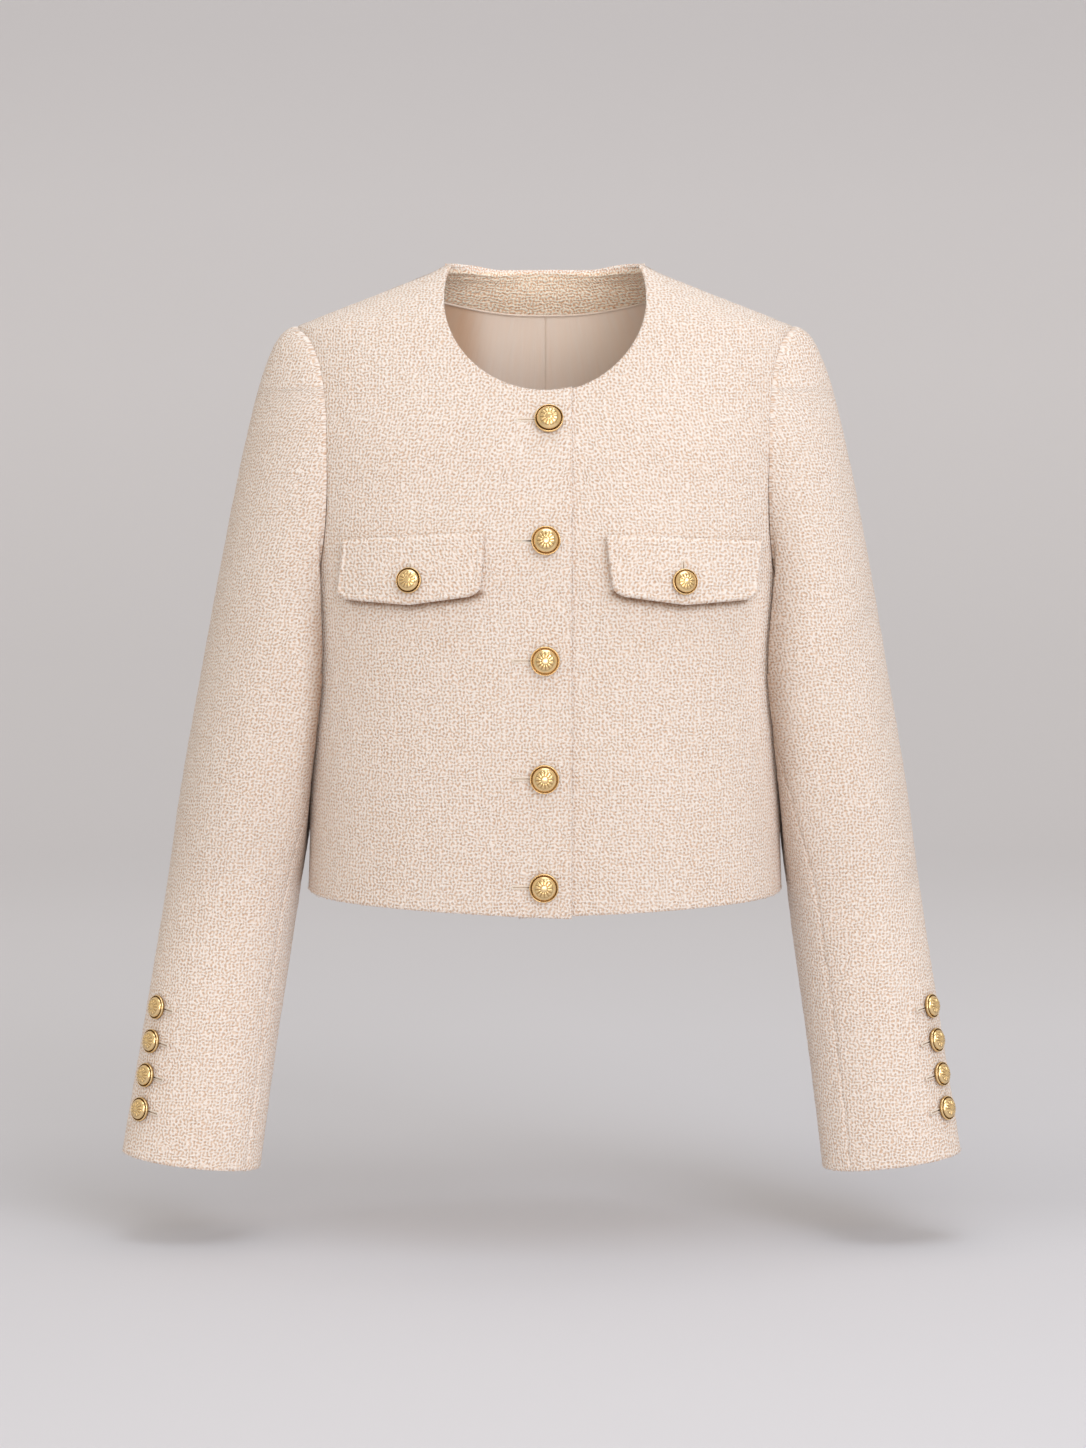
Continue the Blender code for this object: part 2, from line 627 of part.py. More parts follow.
def lining_rows(side):
    """Rows of places of half the back lining, each from the centre outwards."""
    seam_angles, seam_heights = armhole_places(side, -1)
    lower = np.linspace(LINING_BOTTOM_Z, ARMPIT_Z - LINING_INSET, LINING_SIDE_ROWS)
    ends = [(0.0, z) for z in lower]
    picked = slice(2, ARMHOLE_STEPS - 1, 2)
    ends += list(zip(seam_angles[picked], seam_heights[picked]))
    ends.append((0.0, FACING_SHOULDER_Z - LINING_SHOULDER_DROP))
    ends.append((0.0, FACING_SHOULDER_Z - SEAM_GAP))
    centre_end = FACING_CENTRE_Z - 2 * SEAM_GAP
    starts = np.linspace(LINING_BOTTOM_Z, centre_end, len(ends))
    centre_angle = -math.pi / 2 + SEAM_GAP / 2 / body_section(ARMPIT_Z)["back"]
    rows = []
    for start_z, (end_angle, end_z) in zip(starts, ends):
        end_angle -= LINING_INSET / body_section(end_z)["half_width"]
        angles = np.linspace(centre_angle, end_angle, PATH_SAMPLES)
        rise = (np.cos(angles) / math.cos(end_angle)) ** FACING_CURVE
        rows.append(even_places(angles, start_z + (end_z - start_z) * rise, LINING_STEPS))
    return rows


def make_lining(side, material):
    rows = lining_rows(side)
    near = WALL + INNER_GAP
    outer = rows_to_points(rows, side, near)
    inner = rows_to_points(rows, side, near + LINING_WALL)
    name = f"{SIDE_NAMES[side]}_back_lining"
    return add_wall(name, outer, inner, grid_faces(len(rows), LINING_STEPS + 1), material)


# ---------------------------------------------------------------- pocket flaps
def front_surface(outward, height, lift):
    """Points standing `lift` off the front, along its normal."""
    angle = front_angle(outward, height)
    return body_point(angle, height, -np.asarray(lift, float) + 0 * angle)


def flap_lift(share):
    """How far a flap's back stands off the front; share is 0 at its seam and 1 at its free edge."""
    return LAYER_GAP + FLAP_STANDOFF * share**1.5


def make_flap(side, material):
    flap = FLAPS[side]
    across = np.linspace(0, 1, FLAP_STEPS_ACROSS + 1)
    down = np.linspace(0, 1, FLAP_STEPS_DOWN + 1)[:, None]
    top = np.outer(1 - across, flap["top_in"]) + np.outer(across, flap["top_out"])
    bottom = np.outer(1 - across, flap["bottom_in"]) + np.outer(across, flap["bottom_out"])
    bottom[:, 1] -= FLAP_POINT_DROP * (1 - np.abs(2 * across - 1))
    from_side = np.minimum(across, 1 - across) * np.linalg.norm(bottom[-1] - bottom[0])
    bottom[:, 1] += FLAP_CORNER_RISE * np.clip(1 - from_side / FLAP_CORNER_RADIUS, 0, 1) ** 2
    place = top[None] * (1 - down[..., None]) + bottom[None] * down[..., None]
    lift = flap_lift(down) + 0 * across
    back = front_surface(place[..., 0], place[..., 1], lift)
    face = front_surface(place[..., 0], place[..., 1], lift + FLAP_WALL)
    faces = grid_faces(FLAP_STEPS_DOWN + 1, FLAP_STEPS_ACROSS + 1)
    name = f"{SIDE_NAMES[side]}_pocket_flap"
    return add_wall(name, mirrored(face, side), mirrored(back, side), faces, material)


# ---------------------------------------------------------------- buttons
def turned_mesh(name, radius, sides, material):
    """A button turned round Z, with the foot of its shank at the origin."""
    points = [(0, 0, 0)]
    for ring_radius, ring_height in BUTTON_PROFILE:
        for k in range(sides):
            turn = 2 * math.pi * k / sides
            across = radius * ring_radius
            points.append((across * math.cos(turn), across * math.sin(turn), radius * ring_height))
    points.append((0, 0, radius * BUTTON_TOP))
    top = len(points) - 1
    last = 1 + (len(BUTTON_PROFILE) - 1) * sides
    faces = []
    for k in range(sides):
        following = (k + 1) % sides
        faces.append((0, 1 + following, 1 + k))
        faces.append((top, last + k, last + following))
        for ring in range(len(BUTTON_PROFILE) - 1):
            low = 1 + ring * sides
            high = low + sides
            faces.append((low + k, low + following, high + following, high + k))
    return add_mesh(name, points, faces, material, BUTTON_SMOOTH_ANGLE)


def add_button(name, radius, sides, point, normal, material):
    """A button standing on this point of the cloth, facing along its normal."""
    piece = turned_mesh(name, radius, sides, material)
    normal = Vector(normal).normalized()
    across = Vector((0, 0, 1)).cross(normal).normalized()
    turn = Matrix((across, normal.cross(across), normal)).transposed()
    foot = Vector(point) + BUTTON_GAP * normal
    piece.matrix_world = Matrix.Translation(foot) @ turn.to_4x4()
    return piece


def make_front_buttons(material):
    for i, (x, z) in enumerate(FRONT_BUTTONS):
        angle = front_angle(-x, z)
        place = mirrored(body_point(angle, z), -1)
        normal = mirrored(body_normal(angle, z), -1)
        name = f"front_button_{i + 1}"
        add_button(name, FRONT_BUTTON_RADIUS, FRONT_BUTTON_SIDES, place, normal, material)


def flap_point(side, outward, height):
    """A point on a flap's face, near its middle."""
    flap = FLAPS[side]
    top_z = (flap["top_in"][1] + flap["top_out"][1]) / 2
    bottom_z = (flap["bottom_in"][1] + flap["bottom_out"][1]) / 2 - FLAP_POINT_DROP
    share = (height - top_z) / (bottom_z - top_z)
    return front_surface(outward, height, flap_lift(share) + FLAP_WALL)


def make_pocket_button(side, material):
    outward, z = POCKET_BUTTONS[side]
    place = flap_point(side, outward, z)
    downward = flap_point(side, outward, z - PROBE) - flap_point(side, outward, z + PROBE)
    across = flap_point(side, outward + PROBE, z) - flap_point(side, outward - PROBE, z)
    normal = np.cross(across, downward)
    normal *= -np.sign(normal[1])
    name = f"{SIDE_NAMES[side]}_pocket_button"
    add_button(
        name, POCKET_BUTTON_RADIUS, POCKET_BUTTON_SIDES,
        mirrored(place, side), mirrored(normal, side), material,
    )


def make_cuff_buttons(side, material):
    first, last = CUFF_BUTTON_ANGLES[side]
    for k in range(CUFF_BUTTONS):
        angle = first + (last - first) * k / (CUFF_BUTTONS - 1)
        z = CUFF_BUTTON_TOP_Z - CUFF_BUTTON_PITCH * k
        place = sleeve_point(side, angle, z)
        around = sleeve_point(side, angle + 1, z) - sleeve_point(side, angle - 1, z)
        down = sleeve_point(side, angle, z - PROBE) - sleeve_point(side, angle, z + PROBE)
        name = f"{SIDE_NAMES[side]}_cuff_button_{k + 1}"
        add_button(
            name, CUFF_BUTTON_RADIUS, CUFF_BUTTON_SIDES,
            mirrored(place, side), mirrored(np.cross(down, around), side), material,
        )


def main():
    for item in list(bpy.data.objects):
        bpy.data.objects.remove(item, do_unlink=True)
    materials = {name: make_material(name) for name in COLOURS}
    for side in (-1, 1):
        make_front(side, materials["tweed"])
        make_sleeve(side, materials["tweed"])
        make_lining(side, materials["satin_lining"])
        make_flap(side, materials["tweed"])
        make_pocket_button(side, materials["gold"])
        make_cuff_buttons(side, materials["gold"])
    make_back(materials["tweed"])
    make_facing(materials["facing_tweed"])
    make_front_buttons(materials["gold"])


main()
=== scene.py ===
import math

import bmesh
import bpy
import numpy as np
from mathutils import Matrix, Vector
from mathutils.kdtree import KDTree


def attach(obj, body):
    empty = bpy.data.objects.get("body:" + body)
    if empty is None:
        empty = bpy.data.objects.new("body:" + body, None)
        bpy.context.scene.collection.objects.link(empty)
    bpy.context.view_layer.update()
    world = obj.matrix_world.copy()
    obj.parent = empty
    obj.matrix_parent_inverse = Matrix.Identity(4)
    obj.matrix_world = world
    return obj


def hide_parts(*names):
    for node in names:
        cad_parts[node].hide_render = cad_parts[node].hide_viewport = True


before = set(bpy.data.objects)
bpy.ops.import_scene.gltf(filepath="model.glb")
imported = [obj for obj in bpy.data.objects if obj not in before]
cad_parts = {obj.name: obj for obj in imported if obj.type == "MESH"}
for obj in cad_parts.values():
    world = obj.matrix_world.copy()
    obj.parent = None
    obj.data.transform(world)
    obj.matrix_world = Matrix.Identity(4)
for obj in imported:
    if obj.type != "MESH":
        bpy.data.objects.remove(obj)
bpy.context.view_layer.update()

# Metres, +Z up, the jacket's front faces -Y and +X is the wearer's left.
# side is +1 for the wearer's left and -1 for the right; most places are given as outward
# distance, y and z, and mirrored by side at the end.
sideNames = {-1: "right", 1: "left"}


# Smooth tables
def curveBetween(start, leave, end, arrive, t):
    # A cubic curve from start to end, with the slopes that it has at its two ends
    return (
        start * (1 + 2 * t) * (1 - t) ** 2 + leave * t * (1 - t) ** 2
        + end * t * t * (3 - 2 * t) + arrive * t * t * (t - 1)
    )


def smoothBetween(xs, ys, x):
    # A smooth curve through a table that never overshoots its rows
    xs = np.asarray(xs, float)
    ys = np.asarray(ys, float)
    if xs[0] > xs[-1]:
        xs = xs[::-1]
        ys = ys[::-1]
    steps = np.diff(xs)
    rises = np.diff(ys) / steps
    slopes = np.concatenate(([rises[0]], np.zeros(len(xs) - 2), [rises[-1]]))
    for i in range(1, len(xs) - 1):
        if rises[i - 1] * rises[i] > 0:
            slopes[i] = 2 * rises[i - 1] * rises[i] / (rises[i - 1] + rises[i])
    x = np.clip(x, xs[0], xs[-1])
    k = np.clip(np.searchsorted(xs, x) - 1, 0, len(steps) - 1)
    t = (x - xs[k]) / steps[k]
    return curveBetween(ys[k], slopes[k] * steps[k], ys[k + 1], slopes[k + 1] * steps[k], t)


def tableAt(rows, height):
    heights, *columns = zip(*rows)
    return [smoothBetween(heights, column, height) for column in columns]


def softMinimum(a, b, width):
    h = np.clip(0.5 + 0.5 * (b - a) / width, 0, 1)
    return b + (a - b) * h - width * h * (1 - h)


def softMaximum(a, b, width):
    return -softMinimum(-a, -b, width)


def ease(t):
    t = np.clip(t, 0, 1)
    return t * t * (3 - 2 * t)


def unit(vectors):
    return vectors / np.maximum(np.linalg.norm(vectors, axis=-1, keepdims=True), 1e-9)


def ovalRadius(turn, first, second, squareness):
    # How far out a squared oval with these two half widths is at this turn
    return (
        (np.abs(np.cos(turn)) / first) ** squareness + (np.abs(np.sin(turn)) / second) ** squareness
    ) ** (-1 / squareness)


def ovalShare(share, squareness):
    # Where on one half width a squared oval is, for a place along the other
    return (1 - share**squareness) ** (1 / squareness)


# The body's form
bodyForm = {
    "sections": (  # height, half width, front, back, squareness
        (0.0234, 0.1800, 0.0300, 0.0560, 2.0),
        (-0.0190, 0.1810, 0.0600, 0.0720, 2.4),
        (-0.0660, 0.1812, 0.0820, 0.0870, 2.5),
        (-0.1200, 0.1800, 0.1000, 0.0980, 2.5),
        (-0.2000, 0.1745, 0.1120, 0.1040, 2.5),
        (-0.3000, 0.1710, 0.1130, 0.0990, 2.4),
        (-0.3800, 0.1704, 0.1110, 0.1000, 2.4),
        (-0.4400, 0.1722, 0.1090, 0.1040, 2.4),
    ),
    "neckPointOut": 0.0722, "neckPointZ": 0.0234,
    "shoulderRun": 2.50, "shoulderTipZ": -0.0190, "shoulderRounding": 0.006,
    "armpitZ": -0.2220, "hemSideZ": -0.4237, "hemCentreZ": -0.4344, "hemBackZ": -0.4270,
    "hemEasing": 0.25, "frontLevelRise": 0.027, "backLevelRise": 0.020,
    "neckHalfWidth": 0.0716, "neckSideZ": 0.0005, "neckDrop": 0.0668, "neckTaper": 0.0006,
    "buttonStand": 0.0187, "underlapStart": 0.0207, "underlapEase": 0.040,
    "wall": 0.0025, "layerGap": 0.0009, "farthestShare": 0.98,
}
armholeForm = {
    "squareness": 0.62, "lean": 0.20, "backReach": 0.066, "frontReach": {-1: 0.064, 1: 0.060},
    "samples": 600,
}


def bodySection(height):
    halfWidth, front, back, squareness = tableAt(bodyForm["sections"], height)
    ridge = bodyForm["neckPointOut"] + (bodyForm["neckPointZ"] - height) * bodyForm["shoulderRun"]
    return softMinimum(ridge, halfWidth, bodyForm["shoulderRounding"]), front, back, squareness


def bodyPoint(angle, height, lift=0.0):
    # angle is 0 at the side seam, 90 degrees at the centre front and -90 at the centre back
    angle = np.asarray(angle, float)
    height = np.asarray(height, float) + 0 * angle
    halfWidth, front, back, squareness = bodySection(height)
    along = np.where(np.sin(angle) >= 0, front, back)
    radius = ovalRadius(angle, halfWidth, along, squareness)
    point = np.stack([radius * np.cos(angle), -radius * np.sin(angle), height], -1)
    if np.all(np.asarray(lift) == 0):
        return point
    return point + np.asarray(lift)[..., None] * bodyNormal(angle, height)


def bodyNormal(angle, height, step=0.002):
    around = bodyPoint(angle + step, height) - bodyPoint(angle - step, height)
    upward = bodyPoint(angle, height + step) - bodyPoint(angle, height - step)
    return unit(np.cross(upward, around))


def bodyOutward(y, height):
    halfWidth, front, back, squareness = bodySection(height)
    share = np.clip(np.abs(y) / np.where(y <= 0, front, back), 0, bodyForm["farthestShare"])
    return halfWidth * ovalShare(share, squareness)


def frontAngle(outward, height):
    halfWidth, front, back, squareness = bodySection(height)
    share = np.clip(np.abs(outward) / halfWidth, 0, 1)
    return np.arctan2(front * ovalShare(share, squareness), outward)


def armholePoint(side, turn):
    # turn is -90 at the armpit, 0 at the front and 90 at the shoulder tip
    turn = np.radians(turn)
    top, bottom = bodyForm["shoulderTipZ"], bodyForm["armpitZ"]
    height = (top + bottom) / 2 + (top - bottom) / 2 * np.sin(turn)
    form = armholeForm
    reach = np.where(np.cos(turn) > 0, -form["frontReach"][side], form["backReach"])
    full = np.abs(np.cos(turn)) ** form["squareness"] * (1 - form["lean"] * np.sin(turn))
    y = reach * np.where(np.abs(np.cos(turn)) < 1e-9, 0, full)
    return np.stack([bodyOutward(y, height), y, height], -1)


neckRim = {
    "lowest": 0.0020, "rise": 0.0030,
    "riseFrom": 0.030, "riseFull": 0.0615, "riseKept": 0.065, "riseTo": 0.087,     # outwards
    "tuck": 0.0032, "back": 0.0040, "backFull": 0.05, "cornerTuck": 0.0026, "cornerFrom": 0.70,
}


def neckRaised(points):
    # The cloth stands up a little at the two sides of the neck and leans in over them
    x, y, z = np.moveaxis(points, -1, 0)
    rim, away = neckRim, np.abs(points[..., 0])
    high = ease((z - rim["lowest"]) / (bodyForm["neckPointZ"] - rim["lowest"]))
    rise = ease((away - rim["riseFrom"]) / (rim["riseFull"] - rim["riseFrom"]))
    near = ease((rim["riseTo"] - away) / (rim["riseTo"] - rim["riseKept"]))
    tuck = rim["tuck"] * rise * near * high**2
    behind = rim["back"] * ease(y / rim["backFull"]) * high
    return np.stack([x - np.sign(x) * tuck, y + behind, z + rim["rise"] * rise * near * high], -1)


# Cloth sheets
clothMesh = {
    "edgeRows": (0.0, 0.0006, 0.0014),     # extra rows where an edge rolls over
    "firstStep": 0.0009,                   # from the last of them to the even ones
    "innerStep": 4,                        # the inner side has one row for this many outer ones
    "edgePoints": 4,                       # the inner side starts this many outer ones from an edge
    "samples": 160, "pathStep": 0.0005, "farthest": 0.05, "creasePower": 0.8, "tableSize": 256,
    "rollWidth": 0.0020, "rollLeft": 0.0001, "rimGrooveWidth": 0.0007,
    "seamWidth": 0.0032, "seamPower": 1.5, "seamReach": 0.0003,
    "seamDepths": (  # height, depth
        (-0.300, 0.0006), (-0.240, 0.0010), (-0.150, 0.0010), (-0.100, 0.0003),
    ),
    "nubs": ((0.0023, 0.00016), (0.0047, 0.00014), (0.011, 0.00012)),     # size, height
    "nubSeed": 11,
}


def spaced(length, steps):
    # Distances along a path, closer together at its two ends
    near = np.array(clothMesh["edgeRows"])
    start = near[-1] + clothMesh["firstStep"]
    inner = np.linspace(start, length - start, steps + 1)
    return np.concatenate([near, inner, (length - near)[::-1]])


def walked(points):
    # How far it is to each point from the first, along the first axis
    steps = np.linalg.norm(np.diff(points, axis=0), axis=-1)
    return np.concatenate([np.zeros_like(steps[:1]), np.cumsum(steps, axis=0)])


def pathPlaces(angles, heights, steps, divide=None):
    # Places along a path over the body, in even steps or as divide spreads them
    length = walked(bodyPoint(angles, heights))
    if divide:
        distances = divide(length[-1], steps)
    else:
        distances = np.linspace(0, length[-1], steps + 1)
    return np.interp(distances, length, angles), np.interp(distances, length, heights)


def rowBetween(start, end, steps, easing=0.0):
    t = np.linspace(0, 1, clothMesh["samples"])
    angles = start[0] + (end[0] - start[0]) * t
    heights = start[1] + (end[1] - start[1]) * t ** (1 + easing)
    return pathPlaces(angles, heights, steps, spaced)


def armholePlaces(side, face, steps):
    # Angles and heights up the armhole seam, evenly spaced; face is 1 in front and -1 at the back
    turns = np.linspace(-90, 90, armholeForm["samples"])
    points = armholePoint(side, turns if face > 0 else 180 - turns)
    length = walked(points)
    wanted = np.linspace(0, length[-1], steps + 1)
    y = np.interp(wanted, length, points[:, 1])
    height = np.interp(wanted, length, points[:, 2])
    return np.arctan2(-y, bodyOutward(y, height)), height


def randomField(u, v, size, seed):
    # Smooth random hills between -1 and 1, this size apart
    wide = clothMesh["tableSize"]
    table = np.random.default_rng(seed).uniform(-1, 1, (wide, wide))
    x, y = u / size, v / size
    i, j = np.floor(x).astype(int), np.floor(y).astype(int)
    a, b = ease(x - i), ease(y - j)
    corner = [table[(i + p) % wide, (j + q) % wide] for p in (0, 1) for q in (0, 1)]
    return (corner[0] * (1 - b) + corner[1] * b) * (1 - a) + (corner[2] * (1 - b) + corner[3] * b) * a


def creaseDepth(across, height, creases):
    # Each crease runs from one place to another and fades out at both ends and to its sides
    total = np.zeros(np.shape(across))
    for x0, z0, x1, z1, depth, width in creases:
        length = math.hypot(x1 - x0, z1 - z0)
        along = ((across - x0) * (x1 - x0) + (height - z0) * (z1 - z0)) / length**2
        aside = ((across - x0) * (z1 - z0) - (height - z0) * (x1 - x0)) / length
        fullness = np.sin(math.pi * np.clip(along, 0, 1)) ** clothMesh["creasePower"]
        total += depth * fullness * np.exp(-((aside / width) ** 2))
    return total


def gridNormals(points, centre):
    normal = np.cross(np.gradient(points, axis=0), np.gradient(points, axis=1))
    normal /= np.linalg.norm(normal, axis=-1, keepdims=True)
    facing = np.sum(normal * (points - centre), axis=-1)
    return normal * np.sign(np.sum(facing))


def placesAlong(line, length, wanted):
    return np.stack([np.interp(wanted, length, line[:, i]) for i in range(3)], -1)


def nearest(places, others):
    # The height of the nearest other place to each place, and how far away it is
    tree = KDTree(len(others))
    for i, place in enumerate(others.tolist()):
        tree.insert(place, i)
    tree.balance()
    found = [tree.find(place) for place in places.tolist()]
    return np.array([f[0].z for f in found]), np.array([f[2] for f in found])


def distancesFrom(points, paths):
    # How far each point of a grid is from the nearest of these paths
    if not paths:
        return np.full(points.shape[:2], clothMesh["farthest"])
    dense = []
    for path in paths:
        length = walked(path)
        wanted = np.linspace(0, length[-1], int(length[-1] / clothMesh["pathStep"]) + 2)
        dense.append(placesAlong(path, length, wanted))
    found = nearest(points.reshape(-1, 3), np.concatenate(dense))[1]
    return np.minimum(found, clothMesh["farthest"]).reshape(points.shape[:2])


def runsOf(path, kinds, wanted):
    # The stretches of an edge that are of the wanted kind
    runs, run = [], []
    for place, kind in zip(path, kinds):
        if kind == wanted:
            run.append(place)
        elif run:
            runs.append(np.array(run))
            run = []
    if run:
        runs.append(np.array(run))
    return [run for run in runs if len(run) > 1]


edgePaths = {}      # the finished edges of each sheet: their points, ways out and normals


def seamDepthAt(points):
    # The armhole seam is soft over the shoulder and deeper towards the armpit
    heights, depths = zip(*clothMesh["seamDepths"])
    return smoothBetween(heights, depths, points[..., 2])


def makeSheet(
    name, points, uv, edges, thickness, material, centre, lift=0.0, nubs=1.0, seamDepth=0.0, rim=None
):
    # A closed shell of cloth. edges says of the first row, last row, first column and last column
    # whether it is a seam, where the cloth dips in, a rolled finished edge, or plain; it may be one
    # word or a word for each point. The sheet's outer side looks away from centre, lift moves it
    # out, and rim is the width, fullness and groove of a sewn border.
    normal = gridNormals(points, np.asarray(centre, float))
    rows, columns = points.shape[:2]
    near = clothMesh["edgePoints"]
    borders = (np.s_[0], np.s_[-1], np.s_[:, 0], np.s_[:, -1])
    insides = (np.s_[near - 1], np.s_[-near], np.s_[:, near - 1], np.s_[:, -near])
    kinds = [
        np.full(len(points[border]), edge) if isinstance(edge, str) else np.asarray(edge)
        for border, edge in zip(borders, edges)
    ]
    bands = {}
    for wanted in ("rolled", "seam"):
        paths = []
        for border, kind in zip(borders, kinds):
            paths += runsOf(points[border], kind, wanted)
        bands[wanted] = distancesFrom(points, paths)
    share = 1 - np.clip(bands["rolled"] / clothMesh["rollWidth"], 0, 1)
    roll = (thickness / 2 - clothMesh["rollLeft"]) * (1 - np.sqrt(1 - share**2))
    seamShare = (1 - ease(bands["seam"] / clothMesh["seamWidth"])) ** clothMesh["seamPower"]
    dip = np.maximum(roll, seamDepth * seamShare)
    height = lift - dip
    if rim:
        width, fullness, groove = rim
        height = height + fullness * np.sin(math.pi * np.clip(bands["rolled"] / width, 0, 1))
        aside = (bands["rolled"] - width) / clothMesh["rimGrooveWidth"]
        height = height - groove * np.exp(-(aside**2))
    for i, (size, tall) in enumerate(clothMesh["nubs"]):
        height = height + nubs * tall * randomField(
            uv[..., 0] + 1, uv[..., 1] + 1, size, clothMesh["nubSeed"] + i
        )
    outer = points + height[..., None] * normal
    inner = points + (np.minimum(lift, 0) - thickness + roll)[..., None] * normal
    # A seam's edge reaches a little under its neighbour's, so that no light shows between them
    for border, inside, kind in zip(borders, insides, kinds):
        away = unit(points[border] - points[inside])
        away *= clothMesh["seamReach"] * (kind == "seam")[:, None]
        outer[border] += away
        inner[border] += away

    keepRows, keepColumns = (
        np.unique(np.r_[0, np.arange(near, size - near, clothMesh["innerStep"]), size - 1])
        for size in (rows, columns)
    )
    number = np.arange(rows * columns).reshape(rows, columns)
    innerNumber = rows * columns + np.arange(len(keepRows) * len(keepColumns)).reshape(
        len(keepRows), len(keepColumns)
    )
    faces = quadFaces(number) + [face[::-1] for face in quadFaces(innerNumber)]
    faces += edgeFaces(number[0], innerNumber[0], keepColumns)
    faces += edgeFaces(number[-1][::-1], innerNumber[-1][::-1], (columns - 1 - keepColumns)[::-1])
    faces += edgeFaces(number[:, -1], innerNumber[:, -1], keepRows)
    faces += edgeFaces(number[:, 0][::-1], innerNumber[:, 0][::-1], (rows - 1 - keepRows)[::-1])
    for border, inside, kind in zip(borders, insides, kinds):
        rolled = kind == "rolled"
        if np.any(rolled):
            lines = (points[border], points[border] - points[inside], normal[border])
            edgePaths.setdefault(name, []).append([line[rolled] for line in lines])
    picked = np.ix_(keepRows, keepColumns)
    places = np.concatenate([outer.reshape(-1, 3), inner[picked].reshape(-1, 3)])
    weave = np.concatenate([uv.reshape(-1, 2), uv[picked].reshape(-1, 2)])
    piece = meshPiece(name, places, faces, material)
    giveWeave(piece, weave)
    return piece


def quadFaces(number):
    quads = np.stack([number[:-1, :-1], number[:-1, 1:], number[1:, 1:], number[1:, :-1]], -1)
    return [tuple(quad) for quad in quads.reshape(-1, 4).tolist()]


def edgeFaces(outer, inner, kept):
    # Closes the edge between the finely spaced outer points and the kept inner ones
    faces = []
    for k in range(len(kept) - 1):
        first, last = int(kept[k]), int(kept[k + 1])
        middle = (first + last) // 2
        for j in range(first, last):
            near = inner[k] if j < middle else inner[k + 1]
            faces.append((int(outer[j + 1]), int(outer[j]), int(near)))
        faces.append((int(outer[middle]), int(inner[k]), int(inner[k + 1])))
    return faces


def linked(name, data):
    made = bpy.data.objects.new(name, data)
    bpy.context.scene.collection.objects.link(made)
    return made


def meshPiece(name, places, faces, material):
    mesh = bpy.data.meshes.new(name)
    mesh.from_pydata([tuple(p) for p in np.asarray(places).tolist()], [], faces)
    work = bmesh.new()
    work.from_mesh(mesh)
    bmesh.ops.recalc_face_normals(work, faces=work.faces)
    work.to_mesh(mesh)
    work.free()
    mesh.shade_smooth()
    mesh.materials.append(material)
    return linked(name, mesh)


def selectParts(mesh, parts, wanted):
    # In edit mode, select the faces, edges or vertices that are wanted and no others
    bpy.ops.mesh.select_all(action="DESELECT")
    work = bmesh.from_edit_mesh(mesh)
    for part in getattr(work, parts):
        part.select = wanted(part)
    work.select_flush(True)
    bmesh.update_edit_mesh(mesh)


def mirrored(points, side):
    return points * np.array([side, 1, 1])


def giveWeave(piece, weave):
    # Each vertex's place in the flat cloth
    layer = piece.data.uv_layers.new(name="weave")
    corners = np.zeros(len(piece.data.loops), np.int32)
    piece.data.loops.foreach_get("vertex_index", corners)
    layer.data.foreach_set("uv", weave[corners].astype(np.float32).ravel())


def giveValues(piece, label, values):
    stored = piece.data.attributes.new(label, "FLOAT", "POINT")
    stored.data.foreach_set("value", np.clip(values, 0, 1).astype(np.float32))


def verticesOf(pieces):
    places = []
    for piece in pieces:
        found = np.zeros(3 * len(piece.data.vertices), np.float32)
        piece.data.vertices.foreach_get("co", found)
        places.append(found.reshape(-1, 3))
    return np.concatenate(places)


# Material nodes
class Number:
    # A socket that carries one number, so that shader maths reads as Python
    def __init__(self, finish, socket):
        self.finish = finish
        self.socket = socket

    def maths(self, operation, *values):
        made = self.finish.node("ShaderNodeMath", {"operation": operation}, dict(enumerate(values)))
        return Number(self.finish, made.outputs[0])

    def __add__(self, other):
        return self.maths("ADD", self, other)

    def __mul__(self, other):
        return self.maths("MULTIPLY", self, other)

    def __sub__(self, other):
        return self.maths("SUBTRACT", self, other)

    def __rsub__(self, other):
        return self.maths("SUBTRACT", other, self)

    def __truediv__(self, other):
        return self.maths("DIVIDE", self, other)

    def __rtruediv__(self, other):
        return self.maths("DIVIDE", other, self)

    __radd__ = __add__
    __rmul__ = __mul__

    def sine(self):
        return self.maths("SINE", self)

    def rampedFrom(self, low, high):
        # 0 where it is at low, 1 where it is at high, smooth between
        made = self.finish.node(
            "ShaderNodeMapRange", {"interpolation_type": "SMOOTHSTEP"},
            {"Value": self, "From Min": low, "From Max": high},
        )
        return Number(self.finish, made.outputs["Result"])


